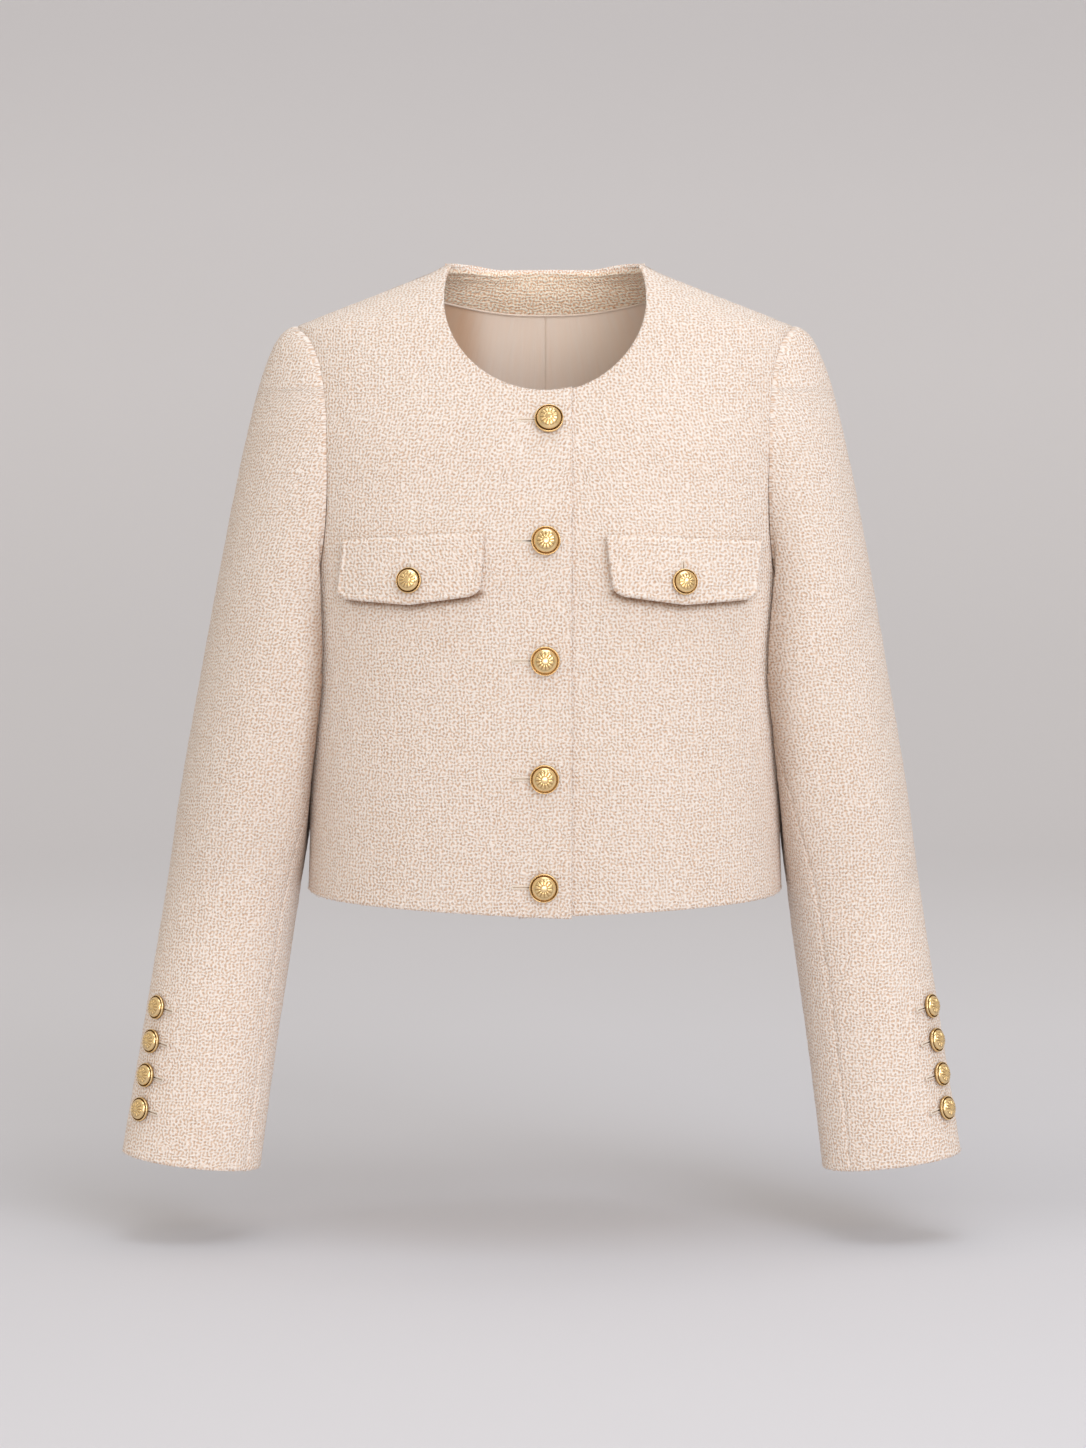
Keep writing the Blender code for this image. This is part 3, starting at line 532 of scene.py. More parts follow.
class Finish:
    # One material, its nodes and its shader
    def __init__(self, name, shaderValues):
        self.material = bpy.data.materials.new(name)
        self.material.use_nodes = True
        self.tree = self.material.node_tree
        self.shader = self.tree.nodes["Principled BSDF"]
        for key, value in shaderValues.items():
            self.shader.inputs[key].default_value = value

    def node(self, kind, settings=None, sockets=None):
        made = self.tree.nodes.new(kind)
        for key, value in (settings or {}).items():
            if key == "stops":
                while len(made.color_ramp.elements) < len(value):
                    made.color_ramp.elements.new(1.0)
                for element, (position, colour) in zip(made.color_ramp.elements, value):
                    element.position = position
                    element.color = (*colour, 1.0)
            else:
                setattr(made, key, value)
        for key, value in (sockets or {}).items():
            self.feed(made.inputs[key], value)
        return made

    def feed(self, socket, value):
        if isinstance(value, Number):
            value = value.socket
        if isinstance(value, bpy.types.NodeSocket):
            self.tree.links.new(value, socket)
        else:
            socket.default_value = value

    def number(self, socket):
        return Number(self, socket)

    def weavePlace(self):
        return self.node("ShaderNodeUVMap", {"uv_map": "weave"}).outputs["UV"]

    def band(self, name):
        return self.number(self.node("ShaderNodeAttribute", {"attribute_name": name}).outputs["Fac"])

    def split(self, place):
        # The three numbers of a place
        made = self.node("ShaderNodeSeparateXYZ", {}, {"Vector": place})
        return [self.number(socket) for socket in made.outputs]

    def objectPlace(self):
        return self.node("ShaderNodeTexCoord").outputs["Object"]

    def shifted(self, place, by):
        return self.node("ShaderNodeVectorMath", {"operation": "ADD"}, {0: place, 1: by}).outputs[0]

    def stretched(self, place, scale):
        return self.node("ShaderNodeMapping", {}, {"Vector": place, "Scale": scale}).outputs[0]

    def noise(self, place, size, detail, dimensions="2D"):
        made = self.node(
            "ShaderNodeTexNoise", {"noise_dimensions": dimensions},
            {"Vector": place, "Scale": 1 / size, "Detail": detail},
        )
        return self.number(made.outputs[0])

    def ramp(self, value, stops):
        return self.node("ShaderNodeValToRGB", {"stops": stops}, {"Fac": value}).outputs["Color"]

    def mixed(self, share, first, second, blend="MIX"):
        # Sockets 6 and 7 and output 2 are the node's colours
        made = self.node(
            "ShaderNodeMix", {"data_type": "RGBA", "blend_type": blend}, {0: share, 6: first, 7: second}
        )
        return made.outputs[2]

    def shaded(self, colour, label, tint):
        # A colour multiplied by a tint as far as the vertices' values say
        return self.mixed(self.band(label), colour, (*tint, 1), "MULTIPLY")

    def bumped(self, height, distance, strength=1.0):
        made = self.node(
            "ShaderNodeBump", {}, {"Height": height, "Distance": distance, "Strength": strength}
        )
        return made.outputs["Normal"]


# Camera, floor and light
cameraSetup = {"place": (-0.00145, -2.47396, -0.13270), "tilt": 86.0, "lens": 85.0, "sensor": 36.0}
stageSetup = {
    "floorZ": -0.6760, "halfWidth": 4.0, "front": -3.6, "back": 4.2,
    "curve": 1.6, "curveSteps": 16, "height": 3.5,
    "roughness": 0.9, "tint": (1.0, 1.0, 1.060),
    "paintedShading": (  # distance over the floor and up the wall, lightness: a painted shadow under the jacket, and painted light and shade along the floor and up the wall
        (-0.45, 0.660), (-0.10, 0.658), (-0.01, 0.638), (0.10, 0.600), (0.20, 0.605), (0.40, 0.645),
        (0.90, 0.696), (1.30, 0.711), (1.70, 0.728), (2.20, 0.729), (2.70, 0.743), (3.20, 0.735),
        (3.70, 0.734), (4.20, 0.757), (4.70, 0.781), (5.20, 0.775), (5.60, 0.736),
    ),
}
lightSetup = {
    "aim": (0, 0, -0.3),
    "front": {"place": (0.08, -3.0, 0.10), "size": 1.6, "power": 15.5, "colour": (1.0, 0.892, 0.811)},
    "low": {"place": (0.25, -2.8, -0.60), "size": 1.6, "power": 13.8, "colour": (1.0, 0.939, 0.872)},
    "key": {"place": (1.3, -2.2, 1.1), "size": 1.3, "power": 22.3, "colour": (0.863, 0.902, 1.0)},
    "top": {"place": (0.22, -0.38, 2.1), "size": 1.6, "power": 19.1, "colour": (0.817, 0.895, 1.0)},
    "world": (0.680, 0.630, 0.560),
}


def placeStage():
    # One light-coloured sheet: floor, a wide curve and the wall, with painted light and shade along it
    bpy.ops.object.select_all(action="DESELECT")
    front, back = stageSetup["front"], stageSetup["back"] - stageSetup["curve"]
    bpy.ops.mesh.primitive_plane_add(size=1, location=(0, (front + back) / 2, stageSetup["floorZ"]))
    floor = bpy.context.object
    floor.name = "floor"
    bpy.ops.object.mode_set(mode="EDIT")
    bpy.ops.transform.resize(value=(2 * stageSetup["halfWidth"], back - front, 1))
    turned = floor.matrix_world
    selectParts(floor.data, "edges", lambda e: all((turned @ v.co).y > back - 0.01 for v in e.verts))
    centre = (0, back, stageSetup["floorZ"] + stageSetup["curve"])
    bpy.ops.mesh.spin(
        steps=stageSetup["curveSteps"], angle=-math.pi / 2, center=centre, axis=(1, 0, 0)
    )
    bpy.ops.mesh.extrude_region_move(TRANSFORM_OT_translate={"value": (0, 0, stageSetup["height"])})
    bpy.ops.mesh.select_all(action="SELECT")
    bpy.ops.mesh.remove_doubles(threshold=0.0001)
    bpy.ops.mesh.normals_make_consistent(inside=True)
    bpy.ops.object.mode_set(mode="OBJECT")
    bpy.ops.object.transform_apply(location=True, rotation=True, scale=True)
    bpy.ops.object.shade_smooth()
    paper = Finish("backdrop_paper", {"Roughness": stageSetup["roughness"]})
    _, depth, height = paper.split(paper.objectPlace())
    along = depth + height - stageSetup["floorZ"]
    near, far = stageSetup["paintedShading"][0][0], stageSetup["paintedShading"][-1][0]
    stops = [
        ((distance - near) / (far - near), tuple(tone * part for part in stageSetup["tint"]))
        for distance, tone in stageSetup["paintedShading"]
    ]
    tone = paper.ramp((along - near) / (far - near), stops)
    paper.feed(paper.shader.inputs["Base Color"], tone)
    floor.data.materials.append(paper.material)


def placeCamera():
    data = bpy.data.cameras.new("camera")
    data.lens = cameraSetup["lens"]
    data.sensor_width = cameraSetup["sensor"]
    camera = linked("camera", data)
    camera.location = cameraSetup["place"]
    camera.rotation_euler = (math.radians(cameraSetup["tilt"]), 0, 0)
    bpy.context.scene.camera = camera


def placeLights():
    for name in ("front", "low", "key", "top"):
        setup = lightSetup[name]
        data = bpy.data.lights.new(name, "AREA")
        data.size = setup["size"]
        data.energy = setup["power"]
        data.color = setup["colour"]
        light = linked(name, data)
        light.location = setup["place"]
        aim = Vector(lightSetup["aim"]) - light.location
        light.rotation_euler = aim.to_track_quat("-Z", "Y").to_euler()
    world = bpy.data.worlds.new("studio")
    world.use_nodes = True
    world.node_tree.nodes["Background"].inputs["Color"].default_value = (*lightSetup["world"], 1)
    bpy.context.scene.world = world
    bpy.context.scene.view_settings.view_transform = "Standard"


# Finishes
tweedLook = {
    "curl": 0.0026, "wander": 5.0, "wanderSize": 0.007, "fullFrom": -1.9, "fullTo": 1.4,
    "waves": (  # degrees, share
        (90, 0.85), (0, 1.00), (38, 0.45), (-34, 0.75), (65, 0.45), (-68, 0.50),
    ),
    "waveShift": (0.37, 0.23),
    "curlHeight": 0.76, "fibreHeight": 0.68, "fibreSize": 0.0015, "raised": 0.14,
    "stops": (
        (0.00, (0.58, 0.38, 0.262)), (0.28, (0.738, 0.580, 0.465)),
        (0.62, (0.812, 0.715, 0.645)), (1.00, (0.852, 0.796, 0.752)),
    ),
    # deep darkens the colour as far as the shade values say, as painted shade in the gaps beside the
    # sleeves and under the pocket flaps; the tint after it lightens the colour as far as its own values
    # say, as painted light
    "tone": 0.10, "toneSize": 0.045, "deep": (0.38, 0.27, 0.19), "pale": (1.12, 1.12, 1.12),
    "depth": 0.0007,
    "shader": {
        "Roughness": 0.92, "Specular IOR Level": 0.25, "Sheen Weight": 0.15, "Sheen Roughness": 0.6,
    },
}
# A lit and shaded copy of the tweed for the facing inside the back neck: browner, warmer tones as
# painted shade inside the neck, made as light as they go as painted light for the light that does not
# reach there; deep gives the rolled rim a little painted shade and a cooler cream
litShadedFacingLook = {
    **tweedLook,
    "fullFrom": -1.3,
    "waves": ((90, 1.00), (0, 0.75), (30, 0.55), (-35, 0.60), (65, 0.45), (-68, 0.45)),
    "stops": (
        (0.00, (0.66, 0.39, 0.23)), (0.24, (0.94, 0.67, 0.48)),
        (0.48, (1.0, 0.85, 0.68)), (1.00, (1.0, 0.95, 0.83)),
    ),
    "deep": (0.92, 0.92, 1.0),
}
satinLook = {
    "colour": (1.0, 0.90, 0.81), "shade": (1.0, 0.83, 0.70), "deep": (0.76, 0.60, 0.47),
    "roughness": 0.34, "depth": 0.0008, "strength": 0.5,
    "streak": (1.0, 0.12, 1.0), "streakSize": 0.006,
    "weave": (1.0, 0.2, 1.0), "weaveSize": 0.0006, "weaveHeight": 0.1,
}
goldLook = {
    "stops": ((0.0, (0.10, 0.055, 0.018)), (0.35, (0.42, 0.26, 0.10)), (1.0, (0.96, 0.71, 0.37))),
    "roughness": 0.20, "wear": 0.2, "wearSize": 0.004,
}
threadLook = {
    "colours": {
        "pale_thread": (0.86, 0.765, 0.665), "buttonhole_line": (0.60, 0.44, 0.32),
        # near-black: a painted shadow in the buttonhole's opening
        "slit_shadow": (0.06, 0.04, 0.025),
    },
    "roughness": 0.8, "twistSize": 0.0008, "dark": 0.8, "depth": 0.0004,
}


def tweedFinish(name, look):
    # Curled boucle loops over tan gaps, with the fibres of the yarn on them
    tweed = Finish(name, look["shader"])
    place = tweed.weavePlace()
    across, up, _ = tweed.split(place)
    field = None
    for i, (direction, share) in enumerate(look["waves"]):
        direction = math.radians(direction)
        turn = 2 * math.pi / look["curl"]
        shift = tuple(i * part for part in look["waveShift"]) + (0.0,)
        phase = tweed.noise(tweed.shifted(place, shift), look["wanderSize"], 1.0)
        wave = across * (turn * math.cos(direction)) + up * (turn * math.sin(direction))
        wave = (wave + phase * (2 * look["wander"])).sine() * share
        field = wave if field is None else field + wave
    curls = field.rampedFrom(look["fullFrom"], look["fullTo"])
    fibre = tweed.noise(place, look["fibreSize"], 2.0)
    height = curls * look["curlHeight"] + (fibre - 0.5) * look["fibreHeight"] + look["raised"]
    tone = tweed.noise(place, look["toneSize"], 2.0)
    colour = tweed.ramp(height + (tone - 0.5) * look["tone"], look["stops"])
    # Painted shade where the shade values say, in the gaps between pieces and under the flaps
    colour = tweed.shaded(colour, "shade", look["deep"])
    # Painted light where its values say, on the forearms and on the fronts beside the sleeves
    colour = tweed.shaded(colour, "pale", look["pale"])
    tweed.feed(tweed.shader.inputs["Base Color"], colour)
    tweed.feed(tweed.shader.inputs["Normal"], tweed.bumped(height, look["depth"]))
    return tweed.material


def satinFinish():
    look = satinLook
    satin = Finish("satin_lining", {"Roughness": look["roughness"]})
    place = satin.weavePlace()
    # Faint vertical streaks that darken towards the shade colour: painted shade of soft folds in the
    # satin, and the same streaks make its bump
    streaks = satin.noise(satin.stretched(place, look["streak"]), look["streakSize"], 2.0)
    colour = satin.mixed(streaks, (*look["shade"], 1), (*look["colour"], 1))
    # Painted shade on the lining's sides where the shade values say
    colour = satin.shaded(colour, "shade", look["deep"])
    satin.feed(satin.shader.inputs["Base Color"], colour)
    weave = satin.noise(satin.stretched(place, look["weave"]), look["weaveSize"], 1.0)
    height = streaks + weave * look["weaveHeight"]
    normal = satin.bumped(height, look["depth"], look["strength"])
    satin.feed(satin.shader.inputs["Normal"], normal)
    return satin.material


def goldFinish():
    look = goldLook
    gold = Finish("gold", {"Roughness": look["roughness"], "Metallic": 1.0})
    wear = gold.noise(gold.objectPlace(), look["wearSize"], 3.0, "3D")
    gold.feed(gold.shader.inputs["Base Color"], gold.ramp(gold.band("relief"), look["stops"]))
    roughness = wear * look["wear"] + look["roughness"] - look["wear"] / 2
    gold.feed(gold.shader.inputs["Roughness"], roughness)
    return gold.material


def threadFinish(name, colour):
    look = threadLook
    thread = Finish(name, {"Roughness": look["roughness"]})
    twist = thread.noise(thread.objectPlace(), look["twistSize"], 1.0, "3D")
    dark = tuple(look["dark"] * part for part in colour)
    thread.feed(thread.shader.inputs["Base Color"], thread.mixed(twist, (*dark, 1), (*colour, 1)))
    thread.feed(thread.shader.inputs["Normal"], thread.bumped(twist, look["depth"]))
    return thread.material


# The body's pieces
weaveForm = {
    "start": -0.080,      # above this height the cloth slopes back over the shoulders
    "lowest": -0.445, "levels": 40, "degrees": (-92, 112), "outermost": 0.1795, "steps": 60,
    "sleeveLevels": 150, "sleeveSteps": 80,
    # where the other pieces start in the flat cloth, so that no two have the same threads
    "backAcross": 0.5, "sleeveAcross": 0.11, "underAcross": 0.3, "flapAcross": 0.6, "facingAcross": 0.8,
    "facingTurn": 0.065, "liningTurn": 0.1,     # metres across for a radian of turn
}


def tableLookup(table, xs, ys, x, y):
    i = np.clip((x - xs[0]) / (xs[1] - xs[0]), 0, len(xs) - 1.001)
    j = np.clip((y - ys[0]) / (ys[1] - ys[0]), 0, len(ys) - 1.001)
    p, q = i.astype(int), j.astype(int)
    a, b = i - p, j - q
    return (
        table[p, q] * (1 - a) * (1 - b) + table[p + 1, q] * a * (1 - b)
        + table[p, q + 1] * (1 - a) * b + table[p + 1, q + 1] * a * b
    )


def makeWeaveTables():
    # How far the cloth reaches around the body from the side seam, and up over the shoulders
    form = weaveForm
    first, last = form["degrees"]
    heights = np.linspace(form["lowest"], form["start"], form["levels"])
    angles = np.radians(np.linspace(first, last, last - first + 1))
    points = bodyPoint(*np.meshgrid(angles, heights, indexing="ij"))
    around = walked(points)
    around -= around[-first]
    outward = np.linspace(0, form["outermost"], form["steps"])
    rising = np.linspace(form["start"], bodyForm["neckPointZ"], form["steps"])
    x, z = np.meshgrid(outward, rising, indexing="ij")
    halfWidth, front, back, squareness = bodySection(z)
    profile = {}
    for face, reach in ((1, front), (-1, back)):
        y = reach * ovalShare(np.clip(x / halfWidth, 0, 1), squareness)
        length = np.zeros(y.shape)
        length[:, 1:] = np.cumsum(np.hypot(np.diff(y, axis=1), np.diff(z, axis=1)), axis=1)
        profile[face] = length
    return heights, angles, around, outward, rising, profile


weaveTables = makeWeaveTables()


def bodyWeave(angle, height):
    # Where a place on the body lies in the flat cloth: across from the side seam, and up
    heights, angles, around, outward, rising, profile = weaveTables
    start = weaveForm["start"]
    x = np.abs(bodyPoint(angle, height)[..., 0])
    lowAngle = frontAngle(x, start)
    lowAngle = np.where(angle > math.pi / 2, math.pi - lowAngle, lowAngle)
    reference = np.where(height > start, lowAngle * np.where(angle < 0, -1, 1), angle)
    across = tableLookup(around, angles, heights, reference, np.minimum(height, start))
    face = np.where(
        angle >= 0,
        tableLookup(profile[1], outward, rising, x, height),
        tableLookup(profile[-1], outward, rising, x, height),
    )
    up = np.where(height > start, start + face, height)
    return np.stack([across, up], -1)


# A crease runs from a place (across, height) to another, with its depth and width
frontShape = {
    "lowerRows": 106, "lapRows": 56, "neckRows": 76, "columns": 106, "taperSteps": 60,
    "creases": {
        -1: (
            (0.040, -0.080, 0.120, -0.185, 0.0016, 0.016),
            (0.030, -0.260, 0.150, -0.330, 0.0012, 0.018),
        ),
        1: (
            (0.045, -0.085, 0.115, -0.190, 0.0014, 0.016),
            (0.040, -0.270, 0.150, -0.360, 0.0012, 0.018),
        ),
    },
}
backShape = {
    "lowerRows": 106, "upperRows": 128, "columns": 104,
    "topSteps": 200, "seamSteps": 400, "upperRun": 0.25,
    "creases": (
        (-0.120, -0.100, -0.020, -0.240, 0.0016, 0.018), (0.110, -0.110, 0.030, -0.230, 0.0013, 0.016),
        (-0.140, -0.300, 0.060, -0.330, 0.0013, 0.015), (0.020, -0.360, 0.150, -0.320, 0.0012, 0.015),
    ),
}


def edgedShares(steps, length):
    # Shares of a length, closer together at its start
    near = np.array(clothMesh["edgeRows"]) / length
    start = near[-1] + clothMesh["firstStep"] / length
    return np.concatenate([near, np.linspace(start, 1, steps + 1)])


def necklineRow():
    # Angles and heights of the neckline, from the far edge of the button stand to the neck point
    form, rim = bodyForm, neckRim
    start = math.asin(form["buttonStand"] / form["neckHalfWidth"])
    turn = np.linspace(-start, math.pi / 2, 2 * clothMesh["samples"])
    outward = form["neckHalfWidth"] * np.sin(turn)
    heights = form["neckSideZ"] - form["neckDrop"] * np.cos(turn)
    rise = np.linspace(0, 1, frontShape["taperSteps"])[1:]
    corner = np.clip((rise - rim["cornerFrom"]) / (1 - rim["cornerFrom"]), 0, 1) ** 2
    taper = form["neckHalfWidth"] - form["neckTaper"] * rise**2 - rim["cornerTuck"] * corner
    outward = np.concatenate([outward, taper])
    up = form["neckSideZ"] + (form["neckPointZ"] - form["neckSideZ"]) * rise
    heights = np.concatenate([heights, up])
    return frontAngle(outward, heights), heights


def frontPlaces(side):
    shape, form = frontShape, bodyForm
    seamAngles, seamHeights = armholePlaces(side, 1, shape["lapRows"] + shape["neckRows"])
    rows = []
    levelZ = form["armpitZ"] + form["frontLevelRise"]
    for share in edgedShares(shape["lowerRows"], levelZ - form["hemCentreZ"]):
        startZ = form["hemCentreZ"] + (levelZ - form["hemCentreZ"]) * share
        endZ = form["hemSideZ"] + (form["armpitZ"] - form["hemSideZ"]) * share
        start = (frontAngle(-form["buttonStand"], startZ), startZ)
        rows.append(rowBetween(start, (0, endZ), shape["columns"], form["hemEasing"] * (1 - share)))
    neck = pathPlaces(*necklineRow(), shape["neckRows"])
    lapZ = np.linspace(levelZ, neck[1][0], shape["lapRows"] + 1)
    starts = [(frontAngle(-form["buttonStand"], z), z) for z in lapZ[1:-1]]
    starts += list(zip(*neck))
    starts[-1] = (seamAngles[-1], form["neckPointZ"])
    for k, start in enumerate(starts):
        rows.append(rowBetween(start, (seamAngles[k + 1], seamHeights[k + 1]), shape["columns"]))
    return np.array([row[0] for row in rows]), np.array([row[1] for row in rows])


def makeFront(side, material):
    angles, heights = frontPlaces(side)
    outward = bodyPoint(angles, heights)[..., 0]
    drop = np.zeros(outward.shape)
    if side == 1:   # this front lies under the other one
        layer = bodyForm["wall"] + bodyForm["layerGap"]
        drop = layer * (1 - ease((outward - bodyForm["underlapStart"]) / bodyForm["underlapEase"]))
    drop = drop + creaseDepth(outward, heights, frontShape["creases"][side])
    points = neckRaised(mirrored(bodyPoint(angles, heights, -drop), side))
    return makeSheet(
        f"{sideNames[side]}_front_cloth", points, bodyWeave(angles, heights),
        ("rolled", "seam", "rolled", "seam"), bodyForm["wall"], material, (0, 0.02, -0.2),
        seamDepth=seamDepthAt(points),
    )


def backPlaces(side):
    # Half the back, centre outwards: hem to armpit, then a patch between the centre line, the
    # armhole, and a top edge of half the back neck and the shoulder seam
    shape, form = backShape, bodyForm
    levelZ = form["armpitZ"] + form["backLevelRise"]
    angles, heights = [], []
    for share in edgedShares(shape["lowerRows"], levelZ - form["hemBackZ"]):
        startZ = form["hemBackZ"] + (levelZ - form["hemBackZ"]) * share
        endZ = form["hemSideZ"] + (form["armpitZ"] - form["hemSideZ"]) * share
        row = rowBetween((-math.pi / 2, startZ), (0, endZ), shape["columns"])
        angles.append(row[0])
        heights.append(row[1])
    bottom = np.array([angles[-1], heights[-1]])
    fine = shape["topSteps"]
    turn = np.concatenate([np.linspace(-math.pi / 2, 0, fine), np.zeros(fine - 1)])
    fall = np.linspace(form["neckPointZ"], form["shoulderTipZ"], fine)[1:]
    topPath = np.concatenate([np.full(fine, form["neckPointZ"]), fall])
    length = walked(bodyPoint(turn, topPath))
    wanted = spaced(length[-1], shape["columns"])
    top = np.array([np.interp(wanted, length, turn), np.interp(wanted, length, topPath)])
    across = wanted / length[-1]
    up = 1 - edgedShares(shape["upperRows"], shape["upperRun"])[::-1]
    even = np.linspace(0, 1, shape["seamSteps"] + 1)
    outer = armholePlaces(side, -1, shape["seamSteps"])
    outer = np.array([np.interp(up, even, line) for line in outer])
    inner = np.array([np.full(len(up), -math.pi / 2), levelZ + (form["neckPointZ"] - levelZ) * up])
    for k in range(1, len(up)):
        v = up[k]
        corners = (
            (1 - v) * ((1 - across) * bottom[:, :1] + across * bottom[:, -1:])
            + v * ((1 - across) * top[:, :1] + across * top[:, -1:])
        )
        row = (1 - v) * bottom + v * top + (1 - across) * inner[:, k : k + 1]
        row = row + across * outer[:, k : k + 1] - corners
        angles.append(row[0])
        heights.append(row[1])
    neck = np.where(top[0] < -0.0001, "rolled", "seam")     # up to the neck point, then the seam
    return np.array(angles), np.array(heights), neck


def makeBack(material):
    points, weave, topEdge = [], [], []
    for side in (-1, 1):
        angles, heights, neck = backPlaces(side)
        outward = side * bodyPoint(angles, heights)[..., 0]
        drop = creaseDepth(outward, heights, backShape["creases"])
        half = mirrored(bodyPoint(angles, heights, -drop), side)
        places = bodyWeave(angles, heights)
        places = (places - places[:, :1] * (1, 0)) * (-side, 1) + (weaveForm["backAcross"], 0)
        last = -1 if side < 0 else None     # the centre line belongs to the left half
        points.append(half[:, ::side][:, :last])
        weave.append(places[:, ::side][:, :last])
        topEdge.append(neck[::side][:last])
    points = neckRaised(np.concatenate(points, axis=1))
    edges = ("rolled", np.concatenate(topEdge), "seam", "seam")
    return makeSheet(
        "back_cloth", points, np.concatenate(weave, axis=1), edges, bodyForm["wall"], material,
        (0, -0.02, -0.2), seamDepth=seamDepthAt(points),
    )


tweed = tweedFinish("tweed", tweedLook)
litShadedFacingTweed = tweedFinish("facing_tweed", litShadedFacingLook)
satin = satinFinish()
fronts = {side: makeFront(side, tweed) for side in (-1, 1)}
back = makeBack(tweed)
for side, piece in fronts.items():
    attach(piece, "root")
    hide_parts(f"{sideNames[side]}_front")
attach(back, "root")
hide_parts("back")
print("body cloth", sum(len(p.data.polygons) for p in (*fronts.values(), back)))

# Sleeves
sleeveForm = {
    "rings": (  # height, outer, width, depth, forward, inner squareness
        (-0.2620, 0.2470, 0.1160, 0.1420, -0.0015, 2.6),
        (-0.3600, 0.2648, 0.1020, 0.1260, 0.0010, 2.4),
        (-0.4200, 0.2735, 0.0960, 0.1080, 0.0050, 2.2),
        (-0.5200, 0.2895, 0.0970, 0.0860, 0.0170, 2.0),
        (-0.6187, 0.3060, 0.1004, 0.0700, 0.0300, 2.0),
    ),
    "seams": {  # height, turn of the front seam, turn of the back seam
        -1: (
            (-0.2620, -46.0, 118.0), (-0.4100, -50.0, 108.0),
            (-0.5000, -55.0, 100.0), (-0.6187, -65.0, 88.0),
        ),
        1: (
            (-0.2620, -36.0, 120.0), (-0.4100, -34.0, 116.0),
            (-0.5000, -40.0, 110.0), (-0.6187, -51.0, 102.0),
        ),
    },
    "outerSquareness": 1.92, "swing": {-1: 0.0, 1: 0.0127}, "ringTilt": math.radians(7.0),
    "columns": 24, "upperColumns": 11, "frontSeamTurn": -45,
    "capStart": 0.24, "capEndLow": 0.75, "capEndTop": 2.50, "capFlare": 0.26, "capDroop": 0.02,
    "capAim": 0.020, "capClear": 3, "clearance": 0.0020, "clearanceEase": 0.0055, "leastEase": 0.0005,
    "lowerEnd": -20, "armholeSteps": 60, "armholeBlend": 0.0040,
}
sleeveShape = {
    "capRows": 96, "tubeRows": 178, "upperColumns": 104, "underColumns": 122,
    "capEdge": (0, 0.004, 0.009), "capFrom": 0.016, "lastStep": 0.0005,
    "evenAt": (-0.262, -0.600), "fineSteps": 400,
    "creases": {  # as on the front, with the place across from the middle of the piece
        "upper": {
            -1: (
                (-0.045, -0.205, 0.025, -0.262, 0.0012, 0.013),
                (-0.050, -0.392, 0.020, -0.428, 0.0010, 0.011),
            ),
            1: (
                (0.040, -0.215, -0.030, -0.268, 0.0011, 0.013),
                (0.045, -0.405, -0.015, -0.436, 0.0010, 0.010),
            ),
        },
        "under": {
            -1: (
                (-0.040, -0.370, 0.035, -0.395, 0.0013, 0.010),
                (-0.020, -0.425, 0.045, -0.442, 0.0010, 0.009),
            ),
            1: (
                (0.035, -0.380, -0.040, -0.402, 0.0013, 0.010),
                (0.030, -0.432, -0.030, -0.452, 0.0009, 0.009),
            ),
        },
    },
}


def sleevePoint(side, turn, height):
    # turn is 0 at the sleeve's front and 90 at its outer side
    form = sleeveForm
    turn = np.radians(turn)
    outer, width, depth, forward, innerSquareness = tableAt(form["rings"], height)
    outer = outer - form["swing"][side] * (bodyForm["armpitZ"] - height)
    squareness = np.where(np.sin(turn) < 0, innerSquareness, form["outerSquareness"])
    radius = ovalRadius(turn, depth / 2, width / 2, squareness)
    across = radius * np.sin(turn)
    outward = outer - width / 2 + across * math.cos(form["ringTilt"])
    y = -forward - radius * np.cos(turn)
    return clearOfBody(side, np.stack([outward, y, height + across * math.sin(form["ringTilt"])], -1))


def clearOfBody(side, points, share=1.0):
    # Sleeve points that would touch the body below the armhole move outwards until they clear it
    form = sleeveForm
    outward, y, z = np.moveaxis(points, -1, 0)
    limit = bodyOutward(y, z) + form["clearance"] * share
    pushed = softMaximum(outward, limit, form["leastEase"] + form["clearanceEase"] * share)
    lowerHalf = np.linspace(-90, form["lowerEnd"], form["armholeSteps"])
    front = armholePoint(side, lowerHalf)
    behind = armholePoint(side, 180 - lowerHalf)
    edge = np.where(
        y <= 0,
        np.interp(np.abs(y), -front[:, 1], front[:, 2]),
        np.interp(np.abs(y), behind[:, 1], behind[:, 2]),
    )
    below = ease((edge - z) / form["armholeBlend"] + 0.5)
    return np.stack([outward + (pushed - outward) * below, y, z], -1)


def sleeveTurns(side, height, column):
    # Turn of each column on the ring at this height; columns run once round from the front seam
    front, behind = tableAt(sleeveForm["seams"][side], height)
    upper, total = sleeveForm["upperColumns"], sleeveForm["columns"]
    onUpper = front + (behind - front) * column / upper
    onUnder = behind + (front + 360 - behind) * (column - upper) / (total - upper)
    return np.where(column <= upper, onUpper, onUnder)


